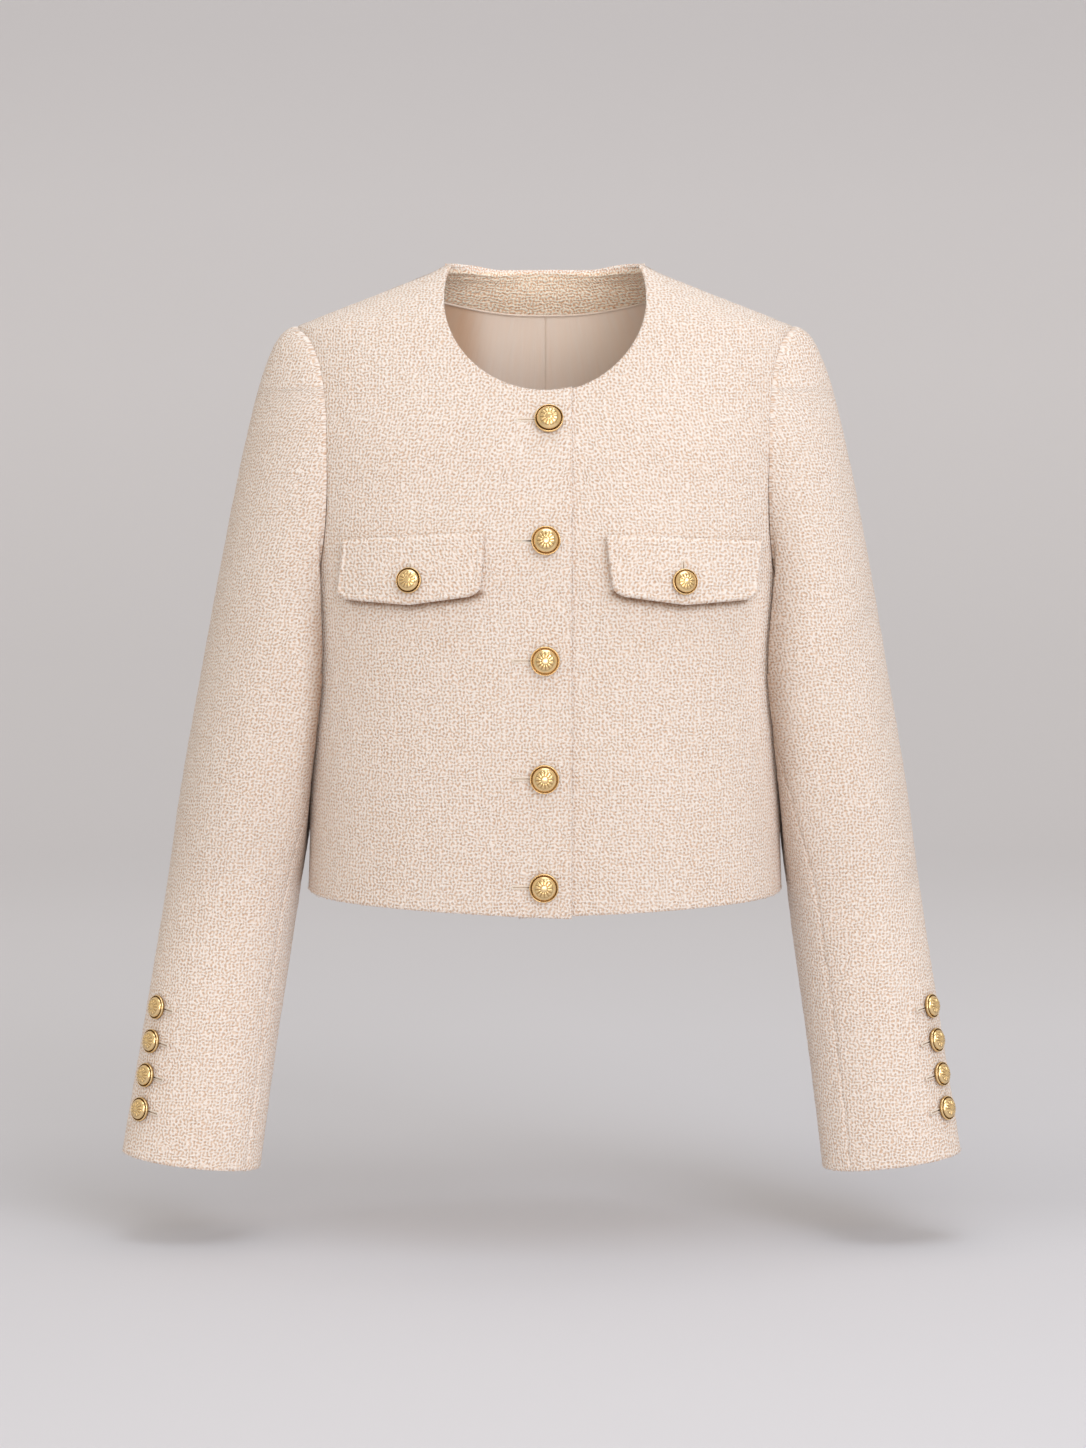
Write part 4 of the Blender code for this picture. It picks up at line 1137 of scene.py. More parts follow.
def sleeveGrid(side, columns):
    # From the armhole the cap's rows leave outwards and arrive along the sleeve at the biceps
    form, shape = sleeveForm, sleeveShape
    bicepsZ, cuffZ = form["rings"][0][0], form["rings"][-1][0]
    turns = form["frontSeamTurn"] + 360 / form["columns"] * columns
    start = armholePoint(side, turns)
    end = sleevePoint(side, sleeveTurns(side, bicepsZ, columns), bicepsZ)
    below = sleevePoint(side, sleeveTurns(side, bicepsZ, columns), bicepsZ - form["capAim"])
    radians = np.radians(turns)
    level = np.ones_like(radians)
    leave = unit(
        np.stack([level, -form["capFlare"] * np.cos(radians), -form["capDroop"] * level], -1)
    )
    span = np.linalg.norm(end - start, axis=1, keepdims=True)
    arrive = unit(below - end)
    top = np.clip(np.sin(radians), 0, 1)[:, None]
    endLength = form["capEndLow"] + (form["capEndTop"] - form["capEndLow"]) * top
    rows = []
    for t in np.concatenate([shape["capEdge"], np.linspace(shape["capFrom"], 1, shape["capRows"])]):
        row = curveBetween(start, leave * span * form["capStart"], end, arrive * span * endLength, t)
        if 0 < t < 1:
            row = clearOfBody(side, row, ease(form["capClear"] * t))
        rows.append(row)
    tube = np.linspace(bicepsZ, cuffZ, shape["tubeRows"] + 1)[1:]
    near = cuffZ + np.array(clothMesh["edgeRows"])[::-1]
    for height in np.concatenate([tube[tube > near[0] + shape["lastStep"]], near]):
        rows.append(sleevePoint(side, sleeveTurns(side, height, columns), height))
    return np.array(rows)


def sleeveColumns(side, first, last, steps):
    # Columns between two seams, about even at the armhole, the biceps and near the cuff
    fine = np.linspace(first, last, sleeveShape["fineSteps"])
    grid = [armholePoint(side, sleeveForm["frontSeamTurn"] + 360 / sleeveForm["columns"] * fine)]
    grid += [sleevePoint(side, sleeveTurns(side, z, fine), z) for z in sleeveShape["evenAt"]]
    length = sum(walked(row) for row in grid) / len(grid)
    return np.interp(spaced(length[-1], steps), length, fine)


def sleeveWeave(grid):
    # The sleeve's place in the flat cloth: across along level sections from its middle column,
    # and up along lines of the same distance across
    columns = range(grid.shape[1])
    levels = np.linspace(grid[..., 2].min(), grid[..., 2].max(), weaveForm["sleeveLevels"])
    falling = np.minimum.accumulate(grid[..., 2], axis=0)[::-1]
    sections = np.stack(
        [
            np.stack([np.interp(levels, falling[:, j], grid[::-1, j, i]) for j in columns], -1)
            for i in (0, 1)
        ],
        -1,
    )
    arc = walked(sections.swapaxes(0, 1)).T
    arc = arc - arc[:, grid.shape[1] // 2][:, None]
    distances = np.linspace(arc.min(), arc.max(), weaveForm["sleeveSteps"])
    lines = np.stack(
        [
            np.stack([np.interp(distances, a, section[:, i]) for a, section in zip(arc, sections)])
            for i in (0, 1)
        ],
        -1,
    )
    steps = np.hypot(np.linalg.norm(np.diff(lines, axis=0), axis=2), np.diff(levels)[:, None])
    rise = np.concatenate([np.zeros((1, len(distances))), np.cumsum(steps, axis=0)])
    across = np.stack([np.interp(grid[:, j, 2], levels, arc[:, j]) for j in columns], -1)
    return np.stack([across, tableLookup(rise, levels, distances, grid[..., 2], across)], -1)


def makeSleeve(side, material):
    form, shape = sleeveForm, sleeveShape
    pieces = []
    seam, underAcross = form["upperColumns"], weaveForm["underAcross"]
    cuts = (
        ("upper", 0, seam, shape["upperColumns"], 0.0),
        ("under", seam, form["columns"], shape["underColumns"], underAcross),
    )
    for name, first, last, steps, offset in cuts:
        columns = sleeveColumns(side, first, last, steps)
        grid = sleeveGrid(side, columns)
        weave = sleeveWeave(grid)
        creases = creaseDepth(weave[..., 0], grid[..., 2], shape["creases"][name][side])
        weave[..., 0] = side * weave[..., 0] + offset + side * weaveForm["sleeveAcross"]
        pieces.append(
            makeSheet(
                f"{sideNames[side]}_{name}_sleeve_cloth", mirrored(grid, side), weave,
                ("seam", "rolled", "seam", "seam"), bodyForm["wall"], material,
                (side * 0.225, -0.005, -0.35), lift=-creases, seamDepth=seamDepthAt(grid),
            )
        )
    return pieces


sleeves = {side: makeSleeve(side, tweed) for side in (-1, 1)}
for side in (-1, 1):
    cut = (("upper", 0.215, 0.100), ("under", 0.235, 0.092))     # width and area of the flat cloth
    for piece, (name, width, area) in zip(sleeves[side], cut):
        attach(piece, "root")
        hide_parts(f"{sideNames[side]}_{name}_sleeve")
print("sleeves")


# Stray loops along the finished edges
fuzzForm = {
    "spacing": 0.0010, "size": (0.00030, 0.00062), "thickness": (0.00009, 0.00017),
    "turns": (0.9, 3.6), "segments": 4, "sides": 3, "inwards": 0.0022, "firstSeed": 40,
    "outShare": (0.7, 0.3), "upShare": (0.35, 0.6), "alongShare": 0.5, "weaveSpread": 0.2,
}


def makeFuzz(sheetName, pieceName, material, seed):
    # Small curled fibres that stand out of an edge, each a thin bent tube
    form, chance = fuzzForm, np.random.default_rng(seed)
    segments, sides = form["segments"], form["sides"]
    places, faces, weave = [], [], []
    for path, away, normal in edgePaths[sheetName]:
        length = walked(path)
        count = int(length[-1] / form["spacing"])
        wanted = np.sort(chance.uniform(0, length[-1], count))
        at, out, up = (placesAlong(line, length, wanted) for line in (path, unit(away), normal))
        along = unit(np.cross(out, up))
        lean = chance.uniform(-1, 1, (count, 3))
        rise = unit(
            out * (form["outShare"][0] + form["outShare"][1] * lean[:, :1])
            + up * (form["upShare"][0] + form["upShare"][1] * lean[:, 1:2])
            + form["alongShare"] * along * lean[:, 2:]
        )
        aside = unit(np.cross(rise, unit(chance.normal(size=(count, 3)))))
        size = chance.uniform(*form["size"], count)[:, None]
        thick = chance.uniform(*form["thickness"], count)[:, None]
        foot = at - out * chance.uniform(0, form["inwards"], count)[:, None] - up * thick
        turns = chance.uniform(*form["turns"], count)[:, None]
        ring = np.cross(rise, aside)
        start = sum(len(p) for p in places)
        for k in range(segments + 1):
            turn = turns * k / segments
            middle = foot + size * (np.sin(turn) * rise + (1 - np.cos(turn)) * aside)
            outward = np.cos(turn) * aside - np.sin(turn) * rise
            for j in range(sides):
                angle = 2 * math.pi * j / sides
                around = math.cos(angle) * outward + math.sin(angle) * ring
                places.append(middle + thick * around)
        number = start + np.arange((segments + 1) * sides * count)
        number = number.reshape(segments + 1, sides, count)
        for k in range(segments):
            for j in range(sides):
                other = (j + 1) % sides
                quad = (number[k, j], number[k, other], number[k + 1, other], number[k + 1, j])
                faces += list(zip(*(corner.tolist() for corner in quad)))
        faces += list(zip(*number[0].tolist()))
        faces += list(zip(*number[-1, ::-1].tolist()))
        spots = chance.uniform(0, form["weaveSpread"], (count, 2))
        weave += [spots] * ((segments + 1) * sides)
    piece = meshPiece(pieceName, np.concatenate(places), faces, material)
    giveWeave(piece, np.concatenate(weave))
    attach(piece, "root")


# Neck facing and lining
neckForm = {
    "gap": 0.0014, "endGap": 0.0007, "facingWall": 0.0020, "liningWall": 0.0010,
    "facingEnd": 0.004, "facingEdge": (0, 0.02, 0.05), "facingFrom": 0.08,
    "rollDrop": 0.0006, "rollFullAt": 0.14, "rollSteps": 11,
    "behind": (0.0006, 0.0012), "cover": 0.0004,
    "rimTintFrom": 0.0010, "rimTintOver": 0.0016,
    "thread": (0.0004, 0.0030, 0.0007), "groove": (0.0007, 0.0010, 0.0008),   # height, drop, width
    "centreZ": -0.0058, "shoulderZ": 0.0140, "curve": 3.15,
    "liningBottomZ": -0.4100, "liningInset": 0.003, "shoulderDrop": 0.0220, "liningRise": 0.0006,
    "sideRows": 95, "seamRows": 100, "seamKept": (2, 92), "shoulderRows": 14,
    "facingRows": 22, "facingColumns": 150, "liningColumns": 100,
    "facingNubs": 0.6, "facingSeam": 0.0010, "liningNubs": 0.25, "liningSeam": 0.0005,
    "pipingRadius": 0.0009, "pipingSides": 8, "pipingEnd": 0.02, "pipingDrop": 0.6, "pipingStand": 0.4,
}


def facingEdge(angle):
    form = neckForm
    rise = (form["shoulderZ"] - form["centreZ"]) * np.abs(np.cos(angle)) ** form["curve"]
    return form["centreZ"] + rise


def makeFacing(material):
    # From its lower edge up the inside of the neck, then rolled over the top edge of the back
    form = neckForm
    angles = np.linspace(-math.pi + form["facingEnd"], -form["facingEnd"], form["facingColumns"])
    full = ease(np.abs(np.sin(angles)) / form["rollFullAt"])
    gap = form["endGap"] + (form["gap"] - form["endGap"]) * full
    depth = bodyForm["wall"] + gap + form["facingWall"]
    start = bodyForm["neckPointZ"] - form["rollDrop"]
    low = facingEdge(angles)
    share = np.linspace(form["facingFrom"], 1, form["facingRows"])
    share = np.concatenate([form["facingEdge"], share])[:, None]
    turn = np.linspace(0, math.pi, form["rollSteps"])[1:, None]
    inside = low + (start - low) * share
    over = start + depth / 2 * np.sin(turn)
    behind = start - np.array(form["behind"])[:, None] + 0 * low
    height = np.concatenate([inside, over, behind])
    cover = form["cover"] * (1 - np.cos(turn)) / 2
    offset = np.concatenate(
        [-depth + 0 * inside, -depth / 2 * (1 + np.cos(turn)) + cover, form["cover"] + 0 * behind]
    )
    base = np.minimum(height, start)
    angle = np.broadcast_to(angles, height.shape)
    points = bodyPoint(angle, base, offset)
    points[..., 2] += height - base
    weave = angle * weaveForm["facingTurn"] + weaveForm["facingAcross"]
    weave = np.stack([weave, walked(points)], -1)
    below = start - height
    thread, groove = (
        tall * np.exp(-(((below - drop) / width) ** 2))
        for tall, drop, width in (form["thread"], form["groove"])
    )
    piece = makeSheet(
        "back_neck_facing_cloth", neckRaised(points), weave, ("rolled", "seam", "plain", "plain"),
        form["facingWall"], material, (0, 0.3, 0.0), lift=thread - groove,
        nubs=form["facingNubs"], seamDepth=form["facingSeam"],
    )
    heights = verticesOf([piece])[:, 2]
    # The rolled rim on top gets the shade values: partly painted shade, where the top catches the most
    # light, and partly a cooler cream colour of the rolled edge
    giveValues(piece, "shade", ease((heights - start + form["rimTintFrom"]) / form["rimTintOver"]))
    return piece


def makePiping(material):
    # A thin satin cord along the join of facing and lining
    form, radius, sides = neckForm, neckForm["pipingRadius"], neckForm["pipingSides"]
    angles = np.linspace(-math.pi + form["pipingEnd"], -form["pipingEnd"], form["facingColumns"])
    gap = form["gap"] * ease(np.abs(np.sin(angles)) / form["rollFullAt"])
    depth = bodyForm["wall"] + gap + form["facingWall"]
    edge = facingEdge(angles)
    path = bodyPoint(angles, edge - radius * form["pipingDrop"], -depth + radius * form["pipingStand"])
    out = bodyNormal(angles, edge)
    across = np.cross(unit(np.gradient(path, axis=0)), out)
    turn = (np.arange(sides) * 2 * math.pi / sides)[None, :, None]
    ring = np.cos(turn) * out[:, None] + np.sin(turn) * across[:, None]
    places = (path[:, None] + radius * ring).reshape(-1, 3)
    faces = [
        (i + j, i + (j + 1) % sides, i + sides + (j + 1) % sides, i + sides + j)
        for i in range(0, len(places) - sides, sides) for j in range(sides)
    ]
    faces += [tuple(range(sides))[::-1], tuple(range(len(places) - sides, len(places)))]
    piece = meshPiece("back_neck_piping_cloth", places, faces, material)
    piece.data.uv_layers.new(name="weave")
    return piece


def makeLining(side, material):
    # Rows from the centre back out to the side seam, then the armhole, then the shoulder seam
    form = neckForm
    bottomZ, innerZ = form["liningBottomZ"], form["shoulderZ"] - form["shoulderDrop"]
    first, last = form["seamKept"]
    seamAngles, seamHeights = armholePlaces(side, -1, form["seamRows"])
    sideZ = np.linspace(bottomZ, bodyForm["armpitZ"] - form["liningInset"], form["sideRows"])
    ends = [(0.0, z) for z in sideZ]
    ends += list(zip(seamAngles[first:last], seamHeights[first:last]))
    ends += [(0.0, z) for z in np.linspace(innerZ, form["shoulderZ"], form["shoulderRows"])]
    starts = np.linspace(bottomZ, form["centreZ"] + form["liningRise"], len(ends))
    angleRows, heightRows = [], []
    for startZ, (endAngle, endZ) in zip(starts, ends):
        endAngle -= form["liningInset"] / bodySection(endZ)[0]
        angle = np.linspace(-math.pi / 2, endAngle, clothMesh["samples"])
        rise = (np.cos(angle) / math.cos(endAngle)) ** form["curve"]
        places = pathPlaces(angle, startZ + (endZ - startZ) * rise, form["liningColumns"])
        angleRows.append(places[0])
        heightRows.append(places[1])
    angle, height = np.array(angleRows), np.array(heightRows)
    lift = np.full(angle.shape, -bodyForm["wall"] - form["gap"] - form["liningWall"])
    points = mirrored(bodyPoint(angle, height, lift), side)
    weave = np.stack([angle * weaveForm["liningTurn"], height], -1)
    return makeSheet(
        f"{sideNames[side]}_back_lining_cloth", points, weave, ("rolled", "seam", "seam", "seam"),
        form["liningWall"], material, (0, 0.4, -0.2),
        nubs=form["liningNubs"], seamDepth=form["liningSeam"],
    )


facing = makeFacing(litShadedFacingTweed)
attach(facing, "root")
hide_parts("back_neck_facing")
piping = makePiping(satin)
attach(piping, "root")
# Painted shade on the lining's sides by the neck opening, stronger on the wearer's right
liningShade = {-1: (0.036, 0.064, 0.9), 1: (0.046, 0.075, 0.3)}     # from, full at, strength
for side in (-1, 1):
    lining = makeLining(side, satin)
    start, full, strength = liningShade[side]
    away = np.abs(verticesOf([lining])[:, 0])
    giveValues(lining, "shade", strength * ease((away - start) / (full - start)))
    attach(lining, "root")
    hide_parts(f"{sideNames[side]}_back_lining")
print("neck facing and lining")

# Pocket flaps
flapForm = {
    "wall": 0.0038, "standoff": 0.0046, "standPower": 1.5, "rows": 62, "columns": 140,
    "width": 0.100, "drop": 0.045,     # about, for the spacing of its points
    "pointDrop": 0.0052, "cornerRadius": 0.0080, "cornerRise": 0.0044,
    "rim": (0.0042, 0.0005, 0.0004), "seamDepth": 0.0014,
    "corners": {  # outward distance and height, seen from the front
        -1: {
            "topIn": (0.0412, -0.1655), "topOut": (0.1395, -0.1712),
            "bottomIn": (0.0445, -0.2083), "bottomOut": (0.1405, -0.2118),
        },
        1: {
            "topIn": (0.0414, -0.1677), "topOut": (0.1500, -0.1718),
            "bottomIn": (0.0465, -0.2083), "bottomOut": (0.1430, -0.2118),
        },
    },
}


def flapLift(share):
    # How far the flap's back is off the front's cloth, for a share of its drop
    return bodyForm["layerGap"] + flapForm["standoff"] * share ** flapForm["standPower"]


def makeFlap(side, material):
    form = flapForm
    corners = form["corners"][side]
    across = spaced(form["width"], form["columns"]) / form["width"]
    down = (spaced(form["drop"], form["rows"]) / form["drop"])[:, None]
    top = np.outer(1 - across, corners["topIn"]) + np.outer(across, corners["topOut"])
    bottom = np.outer(1 - across, corners["bottomIn"]) + np.outer(across, corners["bottomOut"])
    bottom[:, 1] -= form["pointDrop"] * (1 - np.abs(2 * across - 1))
    fromSide = np.minimum(across, 1 - across) * np.linalg.norm(bottom[-1] - bottom[0])
    bottom[:, 1] += form["cornerRise"] * np.clip(1 - fromSide / form["cornerRadius"], 0, 1) ** 2
    place = top[None] * (1 - down[..., None]) + bottom[None] * down[..., None]
    lift = flapLift(down) + 0 * across + form["wall"]
    angle = frontAngle(place[..., 0], place[..., 1])
    points = mirrored(bodyPoint(angle, place[..., 1], lift), side)
    return makeSheet(
        f"{sideNames[side]}_pocket_flap_cloth", points, place + (weaveForm["flapAcross"], 0.0),
        ("seam", "rolled", "rolled", "rolled"), form["wall"], material, (0, 0.02, -0.2),
        seamDepth=form["seamDepth"], rim=form["rim"],
    )


flaps = []
for side in (-1, 1):
    flap = makeFlap(side, tweed)
    flaps.append(flap)
    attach(flap, "root")
    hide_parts(f"{sideNames[side]}_pocket_flap")
print("pocket flaps")

for i, sheetName in enumerate(edgePaths):
    if not sheetName.endswith(("facing_cloth", "lining_cloth")):
        makeFuzz(sheetName, sheetName.replace("cloth", "fuzz"), tweed, fuzzForm["firstSeed"] + i)
print("fuzz")

# Painted shade in the gaps between pieces and under the pocket flaps, and painted light on the forearms
# and on the fronts beside the sleeves
shadeForm = {
    # of the pieces near: distance where it is full, distance over which it fades, power, strength
    "sleeve": {-1: (0.0020, 0.019, 1.5, 0.95), 1: (0.0020, 0.034, 1.6, 0.72)},
    "front": {-1: (0.0020, 0.020, 1.0, 0.4), 1: (0.0020, 0.028, 0.8, 1.0)},
    "flap": (0.0058, 0.0030, 1.0, 1.0),
    "under": (0.0003, 0.0012),      # how far below the flap's edge it starts, and over how much
    "flapEdge": -0.2030,            # only the flap's points below this height cast it
    "every": 3,                     # of the other pieces' points, one in this many is looked at
    # heights where each starts and is full
    "gap": {-1: (-0.160, -0.270), 1: (-0.080, -0.290)}, "gapFading": (-0.310, -0.400), "gapLoss": 0.6,
    # painted light: the forearms lighter below these heights, by side, and the fronts beside the
    # sleeves lighter below the last heights
    "forearm": (-0.380, -0.500), "forearmLightStrength": {-1: 0.75, 1: 0.35}, "frontLightHeights": (-0.16, -0.22),
}


def downShare(heights, start, full):
    # 0 above the start and 1 below the height where it is full
    return ease((start - heights) / (start - full))


def shadeNear(places, others, touching, reach, power, under=None):
    # 1 where a place touches the other pieces, falling to 0 at the reach; with under, only places
    # lower than the piece that is near
    heights, distances = nearest(places, others)
    near = ease(1 - (distances - touching) / reach) ** power
    if under:
        near = near * ease((heights - places[:, 2] - under[0]) / under[1])
    return near


bodies = verticesOf((*fronts.values(), back))[:: shadeForm["every"]]
flapEdges = verticesOf(flaps)
flapEdges = flapEdges[flapEdges[:, 2] < shadeForm["flapEdge"]]
# Painted shade on each sleeve near the body, less of it lower down, and painted light down the forearm
for side in (-1, 1):
    *reach, strength = shadeForm["sleeve"][side]
    for piece in sleeves[side]:
        places = verticesOf([piece])
        heights = places[:, 2]
        fading = 1 - shadeForm["gapLoss"] * downShare(heights, *shadeForm["gapFading"])
        share = downShare(heights, *shadeForm["gap"][side]) * fading
        giveValues(piece, "shade", strength * share * shadeNear(places, bodies, *reach))
        lightStrength = shadeForm["forearmLightStrength"][side]
        giveValues(piece, "pale", lightStrength * downShare(heights, *shadeForm["forearm"]))
    # Painted light on the front where the sleeve beside it shades it
    places = verticesOf([fronts[side]])
    *reach, strength = shadeForm["front"][side]
    near = shadeNear(places, verticesOf(sleeves[side])[:: shadeForm["every"]], *reach)
    giveValues(fronts[side], "pale", strength * downShare(places[:, 2], *shadeForm["frontLightHeights"]) * near)
    # Painted shadow on the front just under each pocket flap's lower edge
    *reach, strength = shadeForm["flap"]
    near = shadeNear(places, flapEdges, *reach, shadeForm["under"])
    giveValues(fronts[side], "shade", strength * near)
print("shade")


# Buttons
buttonForm = {
    "sides": 48, "petals": 12, "gap": 0.0002, "steepest": 0.3,
    "profile": (  # ring radius and height above the cloth, both per unit radius
        (0.34, 0.00), (0.34, 0.03), (0.90, 0.04), (0.985, 0.10), (1.00, 0.22), (0.98, 0.33),
        (0.945, 0.37), (0.915, 0.35), (0.90, 0.23), (0.85, 0.23), (0.835, 0.37), (0.79, 0.455),
        (0.72, 0.525), (0.60, 0.590), (0.42, 0.645), (0.24, 0.675), (0.14, 0.685),
    ),
    "dome": 7,       # how many of the last rings are the dome
    "top": 0.695, "topInset": 0.6, "petalRise": 0.050, "petalInset": 0.014,
    "bossRise": 0.045, "bossInset": 0.02,
    "petalRing": (0.24, 0.60, 0.45), "bossRing": (0.0, 0.19, 0.60),     # from, to, above this height
    "relief": (  # ring radius, lightness of the gold
        (0.74, 1.0), (0.80, 0.9), (0.835, 0.15), (0.90, 0.15), (0.92, 1.0), (1.0, 1.0),
    ),
    "domeRelief": 0.50, "domeEdge": 0.56, "domeEdgeOver": 0.10, "lowHeight": 0.25, "lowRelief": 0.3,
    "front": 0.0103, "pocket": 0.0092, "cuff": 0.0088,
    "frontPlaces": (  # sideways place, height
        (0.0027, -0.0874), (0.0006, -0.1713), (0.0, -0.2542), (-0.0004, -0.3361), (-0.0008, -0.4121),
    ),
    "pocketPlaces": {-1: (0.0918, -0.1988), 1: (0.0942, -0.1998)},    # outwards, height
    "cuffTop": -0.5110, "cuffPitch": 0.0243, "cuffCount": 4,
    "cuffTurns": {-1: (55.0, 59.5), 1: (60.5, 64.5)},     # of the first and the last one
}


def selectRing(mesh, inside, outside, height):
    # Select the faces whose middle lies between two radii, above this height
    def wanted(face):
        middle = face.calc_center_median()
        reach = math.hypot(middle.x, middle.y)
        upward = face.normal.z > buttonForm["steepest"]
        return inside < reach < outside and middle.z > height and upward

    selectParts(mesh, "faces", wanted)


def modelButton(material):
    # A domed metal button of unit radius: rolled rim, groove, and a rosette of petals round a boss
    form = buttonForm
    bpy.ops.object.select_all(action="DESELECT")
    firstRadius, firstHeight = form["profile"][0]
    bpy.ops.mesh.primitive_circle_add(vertices=form["sides"], radius=firstRadius, fill_type="NGON")
    button = bpy.context.object
    button.name = "button_model"
    bpy.ops.object.mode_set(mode="EDIT")
    bpy.ops.mesh.select_mode(type="FACE")
    bpy.ops.mesh.select_all(action="SELECT")
    radius, height = firstRadius, firstHeight
    for nextRadius, nextHeight in form["profile"][1:]:
        bpy.ops.mesh.extrude_region_move(TRANSFORM_OT_translate={"value": (0, 0, nextHeight - height)})
        bpy.ops.transform.resize(value=(nextRadius / radius, nextRadius / radius, 1))
        radius, height = nextRadius, nextHeight
    bpy.ops.mesh.inset(thickness=radius * form["topInset"])
    bpy.ops.transform.translate(value=(0, 0, form["top"] - height))
    bpy.ops.mesh.select_all(action="SELECT")
    bpy.ops.mesh.normals_make_consistent(inside=False)
    # Petals: the two rings of faces on the dome, each face drawn in and raised
    selectRing(button.data, *form["petalRing"])
    work = bmesh.from_edit_mesh(button.data)
    step = form["sides"] // form["petals"]
    for face in work.faces:
        if face.select:
            middle = face.calc_center_median()
            wedge = math.atan2(middle.y, middle.x) % (2 * math.pi) / (2 * math.pi) * form["sides"]
            face.select = int(wedge) % step != 0
    work.select_flush(False)
    bmesh.update_edit_mesh(button.data)
    bpy.ops.mesh.inset(thickness=form["petalInset"], depth=form["petalRise"])
    selectRing(button.data, *form["bossRing"])
    bpy.ops.mesh.inset(thickness=form["bossInset"], depth=form["bossRise"])
    bpy.ops.object.mode_set(mode="OBJECT")
    rounding = button.modifiers.new("rounding", "SUBSURF")
    rounding.levels = rounding.render_levels = 1
    bpy.ops.object.modifier_apply(modifier=rounding.name)
    bpy.ops.object.shade_smooth()
    mesh = button.data
    mesh.materials.append(material)
    places = verticesOf([button]).astype(float)
    reach, height = np.hypot(places[:, 0], places[:, 1]), places[:, 2]
    dome = zip((0.0, form["top"]), *reversed(form["profile"][-form["dome"] :]))
    raised = (height - np.interp(reach, *dome)) / form["petalRise"]
    middle = np.clip(form["domeRelief"] * (1 + raised), 0, 1)
    middle = np.maximum(middle, ease((reach - form["domeEdge"]) / form["domeEdgeOver"]))
    rim = np.interp(reach, *zip(*form["relief"]))
    value = np.where(reach > form["relief"][0][0], rim, middle)
    giveValues(button, "relief", np.where(height > form["lowHeight"], value, form["lowRelief"]))
    return button


def placeCopy(model, name, place, across, normal, scale=1.0):
    # A copy of a model with its X along across and its Z along the normal
    piece = linked(name, model.data.copy())
    turn = Matrix((across, normal.cross(across), normal)).transposed().to_4x4()
    piece.data.transform(Matrix.Translation(place) @ turn @ Matrix.Scale(scale, 4))
    return piece


def placeButton(model, name, radius, place, normal):
    normal = Vector(normal).normalized()
    across = Vector((0, 0, 1)).cross(normal).normalized()
    foot = Vector(place) + buttonForm["gap"] * normal
    piece = placeCopy(model, name + "_metal", foot, across, normal, radius)
    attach(piece, "root")
    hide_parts(name)


# Buttonholes
holeForm = {
    "cord": 0.0007, "gap": 0.0019, "sunk": 0.00035, "cordSides": (24, 8),
    "line": 0.0004, "lineTop": 0.0001, "slitTop": 0.00015, "deep": 0.0006, "slitPinch": 0.15,
    "kinds": {  # length, where the slit gapes from and to, how wide
        "wide": (0.0215, 0.0085, 0.0165, 0.0012),
        "front": (0.0215, 0.0085, 0.0118, 0.0006),
        "cuff": (0.0165, 0.0080, 0.0096, 0.0007),
        "right_pocket": (0.0112, 0.0080, 0.0100, 0.0004),
        "left_pocket": (0.0140, 0.0080, 0.0125, 0.0005),
    },
    "frontKinds": ("front", "wide", "front", "front", "front"),
}


def modelButtonhole(kind, materials):
    # Two corded lips along X with the shank end at the origin, a thin line between them, and the
    # slit that gapes beside the button, a near-black box as a painted shadow in its opening
    form = holeForm
    length, openFrom, openTo, width = form["kinds"][kind]
    aroundCord, overCord = form["cordSides"]
    bpy.ops.object.select_all(action="DESELECT")
    bpy.ops.mesh.primitive_torus_add(
        location=(0, 0, -form["sunk"]), major_radius=form["gap"] / 2, minor_radius=form["cord"],
        major_segments=aroundCord, minor_segments=overCord,
    )
    lips = bpy.context.object
    lips.name = kind + "_buttonhole_model"
    bpy.ops.object.transform_apply(location=True, rotation=True, scale=True)
    bpy.ops.object.mode_set(mode="EDIT")
    selectParts(lips.data, "verts", lambda vertex: vertex.co.x < 0.00001)
    bpy.ops.transform.translate(value=(-length, 0, 0))
    slabs = ((0.0, length, form["line"], form["lineTop"]), (openFrom, openTo, width, form["slitTop"]))
    for start, end, wide, top in slabs:
        bpy.ops.mesh.select_all(action="DESELECT")
        middle = (-(start + end) / 2, 0, top - form["deep"] / 2)
        bpy.ops.mesh.primitive_cube_add(size=1, location=middle)
        bpy.ops.transform.resize(value=(end - start, wide, form["deep"]))
    slit_shadow = len(bmesh.from_edit_mesh(lips.data).verts) - 8     # its corners are the last eight

    def farEnd(vertex):
        return vertex.index >= slit_shadow and vertex.co.x < -openTo + 0.0001

    selectParts(lips.data, "verts", farEnd)
    bpy.ops.transform.resize(value=(1, form["slitPinch"], 1), center_override=(-openTo, 0, 0))
    bpy.ops.object.mode_set(mode="OBJECT")
    for material in materials:
        lips.data.materials.append(material)
    cord = len(lips.data.polygons) - 12     # the line and the slit have six faces each
    for i, polygon in enumerate(lips.data.polygons):
        polygon.material_index = 0 if i < cord else 1 if i < cord + 6 else 2
        polygon.use_smooth = i < cord
    return lips


def placeButtonhole(model, name, place, normal, along):
    normal = Vector(normal).normalized()
    along = Vector(along) - Vector(along).dot(normal) * normal
    piece = placeCopy(model, name, Vector(place), along.normalized(), normal)
    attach(piece, "root")


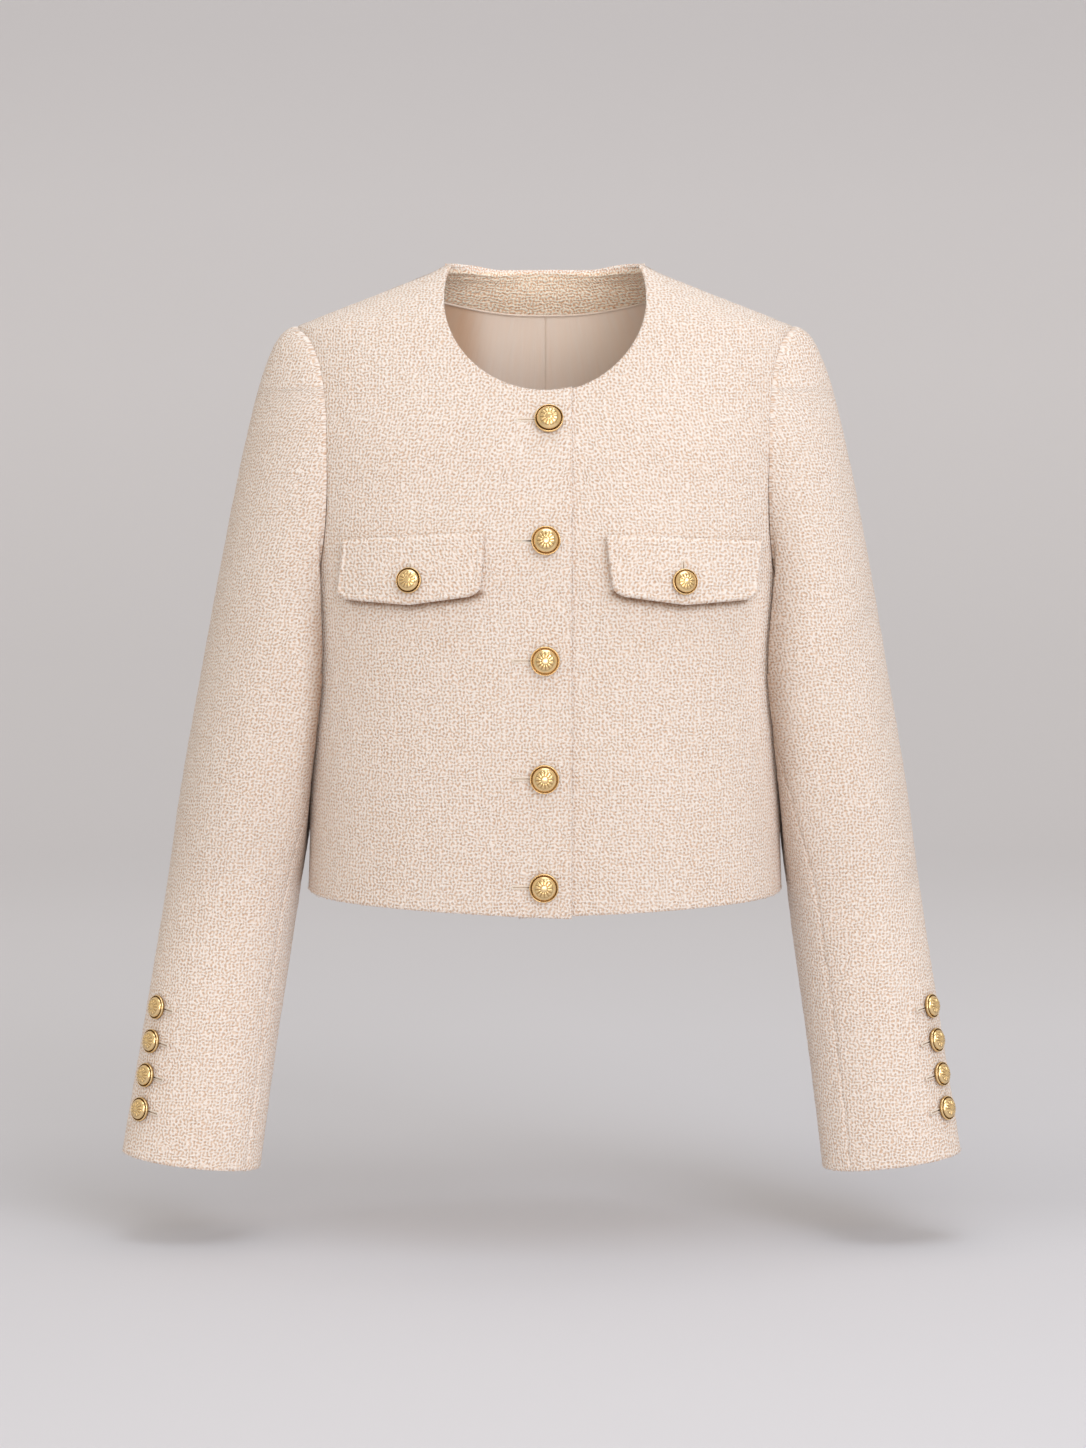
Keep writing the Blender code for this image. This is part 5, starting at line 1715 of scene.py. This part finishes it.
def flapPlace(side, outward, height, step=0.002):
    # A point on the flap's face and the way the face looks
    corners = flapForm["corners"][side]
    topZ = (corners["topIn"][1] + corners["topOut"][1]) / 2
    bottomZ = (corners["bottomIn"][1] + corners["bottomOut"][1]) / 2 - flapForm["pointDrop"]

    def at(x, z):
        lift = flapLift(np.clip((z - topZ) / (bottomZ - topZ), 0, 1)) + flapForm["wall"]
        return bodyPoint(frontAngle(x, z), z, np.asarray(lift))

    down = at(outward, height - step) - at(outward, height + step)
    across = at(outward + step, height) - at(outward - step, height)
    normal = np.cross(across, down)
    normal *= -np.sign(normal[1])
    return mirrored(at(outward, height), side), mirrored(normal, side)


def cuffPlace(side, turn, height, step=0.002):
    # A point on the sleeve, the way it looks and the way round the sleeve
    around = sleevePoint(side, turn + 1, height) - sleevePoint(side, turn - 1, height)
    down = sleevePoint(side, turn, height - step) - sleevePoint(side, turn, height + step)
    vectors = (sleevePoint(side, turn, height), np.cross(down, around), around)
    return [mirrored(vector, side) for vector in vectors]


gold = goldFinish()
buttonModel = modelButton(gold)
threads = [threadFinish(name, colour) for name, colour in threadLook["colours"].items()]
holeModels = {kind: modelButtonhole(kind, threads) for kind in holeForm["kinds"]}
for i, (x, z) in enumerate(buttonForm["frontPlaces"]):
    angle = frontAngle(-x, z)
    place, normal = mirrored(bodyPoint(angle, z), -1), mirrored(bodyNormal(angle, z), -1)
    hole = holeModels[holeForm["frontKinds"][i]]
    placeButton(buttonModel, f"front_button_{i + 1}", buttonForm["front"], place, normal)
    placeButtonhole(hole, f"front_buttonhole_{i + 1}", place, normal, (1, 0, 0))
for side in (-1, 1):
    kind = f"{sideNames[side]}_pocket"
    place, normal = flapPlace(side, *buttonForm["pocketPlaces"][side])
    placeButton(buttonModel, kind + "_button", buttonForm["pocket"], place, normal)
    placeButtonhole(holeModels[kind], kind + "_buttonhole", place, normal, (0, 0, -1))
    turns = np.linspace(*buttonForm["cuffTurns"][side], buttonForm["cuffCount"])
    for k, turn in enumerate(turns):
        z = buttonForm["cuffTop"] - buttonForm["cuffPitch"] * k
        place, normal, around = cuffPlace(side, turn, z)
        cuff = f"{sideNames[side]}_cuff"
        placeButton(buttonModel, f"{cuff}_button_{k + 1}", buttonForm["cuff"], place, normal)
        placeButtonhole(holeModels["cuff"], f"{cuff}_buttonhole_{k + 1}", place, normal, around)
for model in (buttonModel, *holeModels.values()):
    bpy.data.objects.remove(model, do_unlink=True)
print("buttons and buttonholes")

placeStage()
placeCamera()
placeLights()
print("finishing")
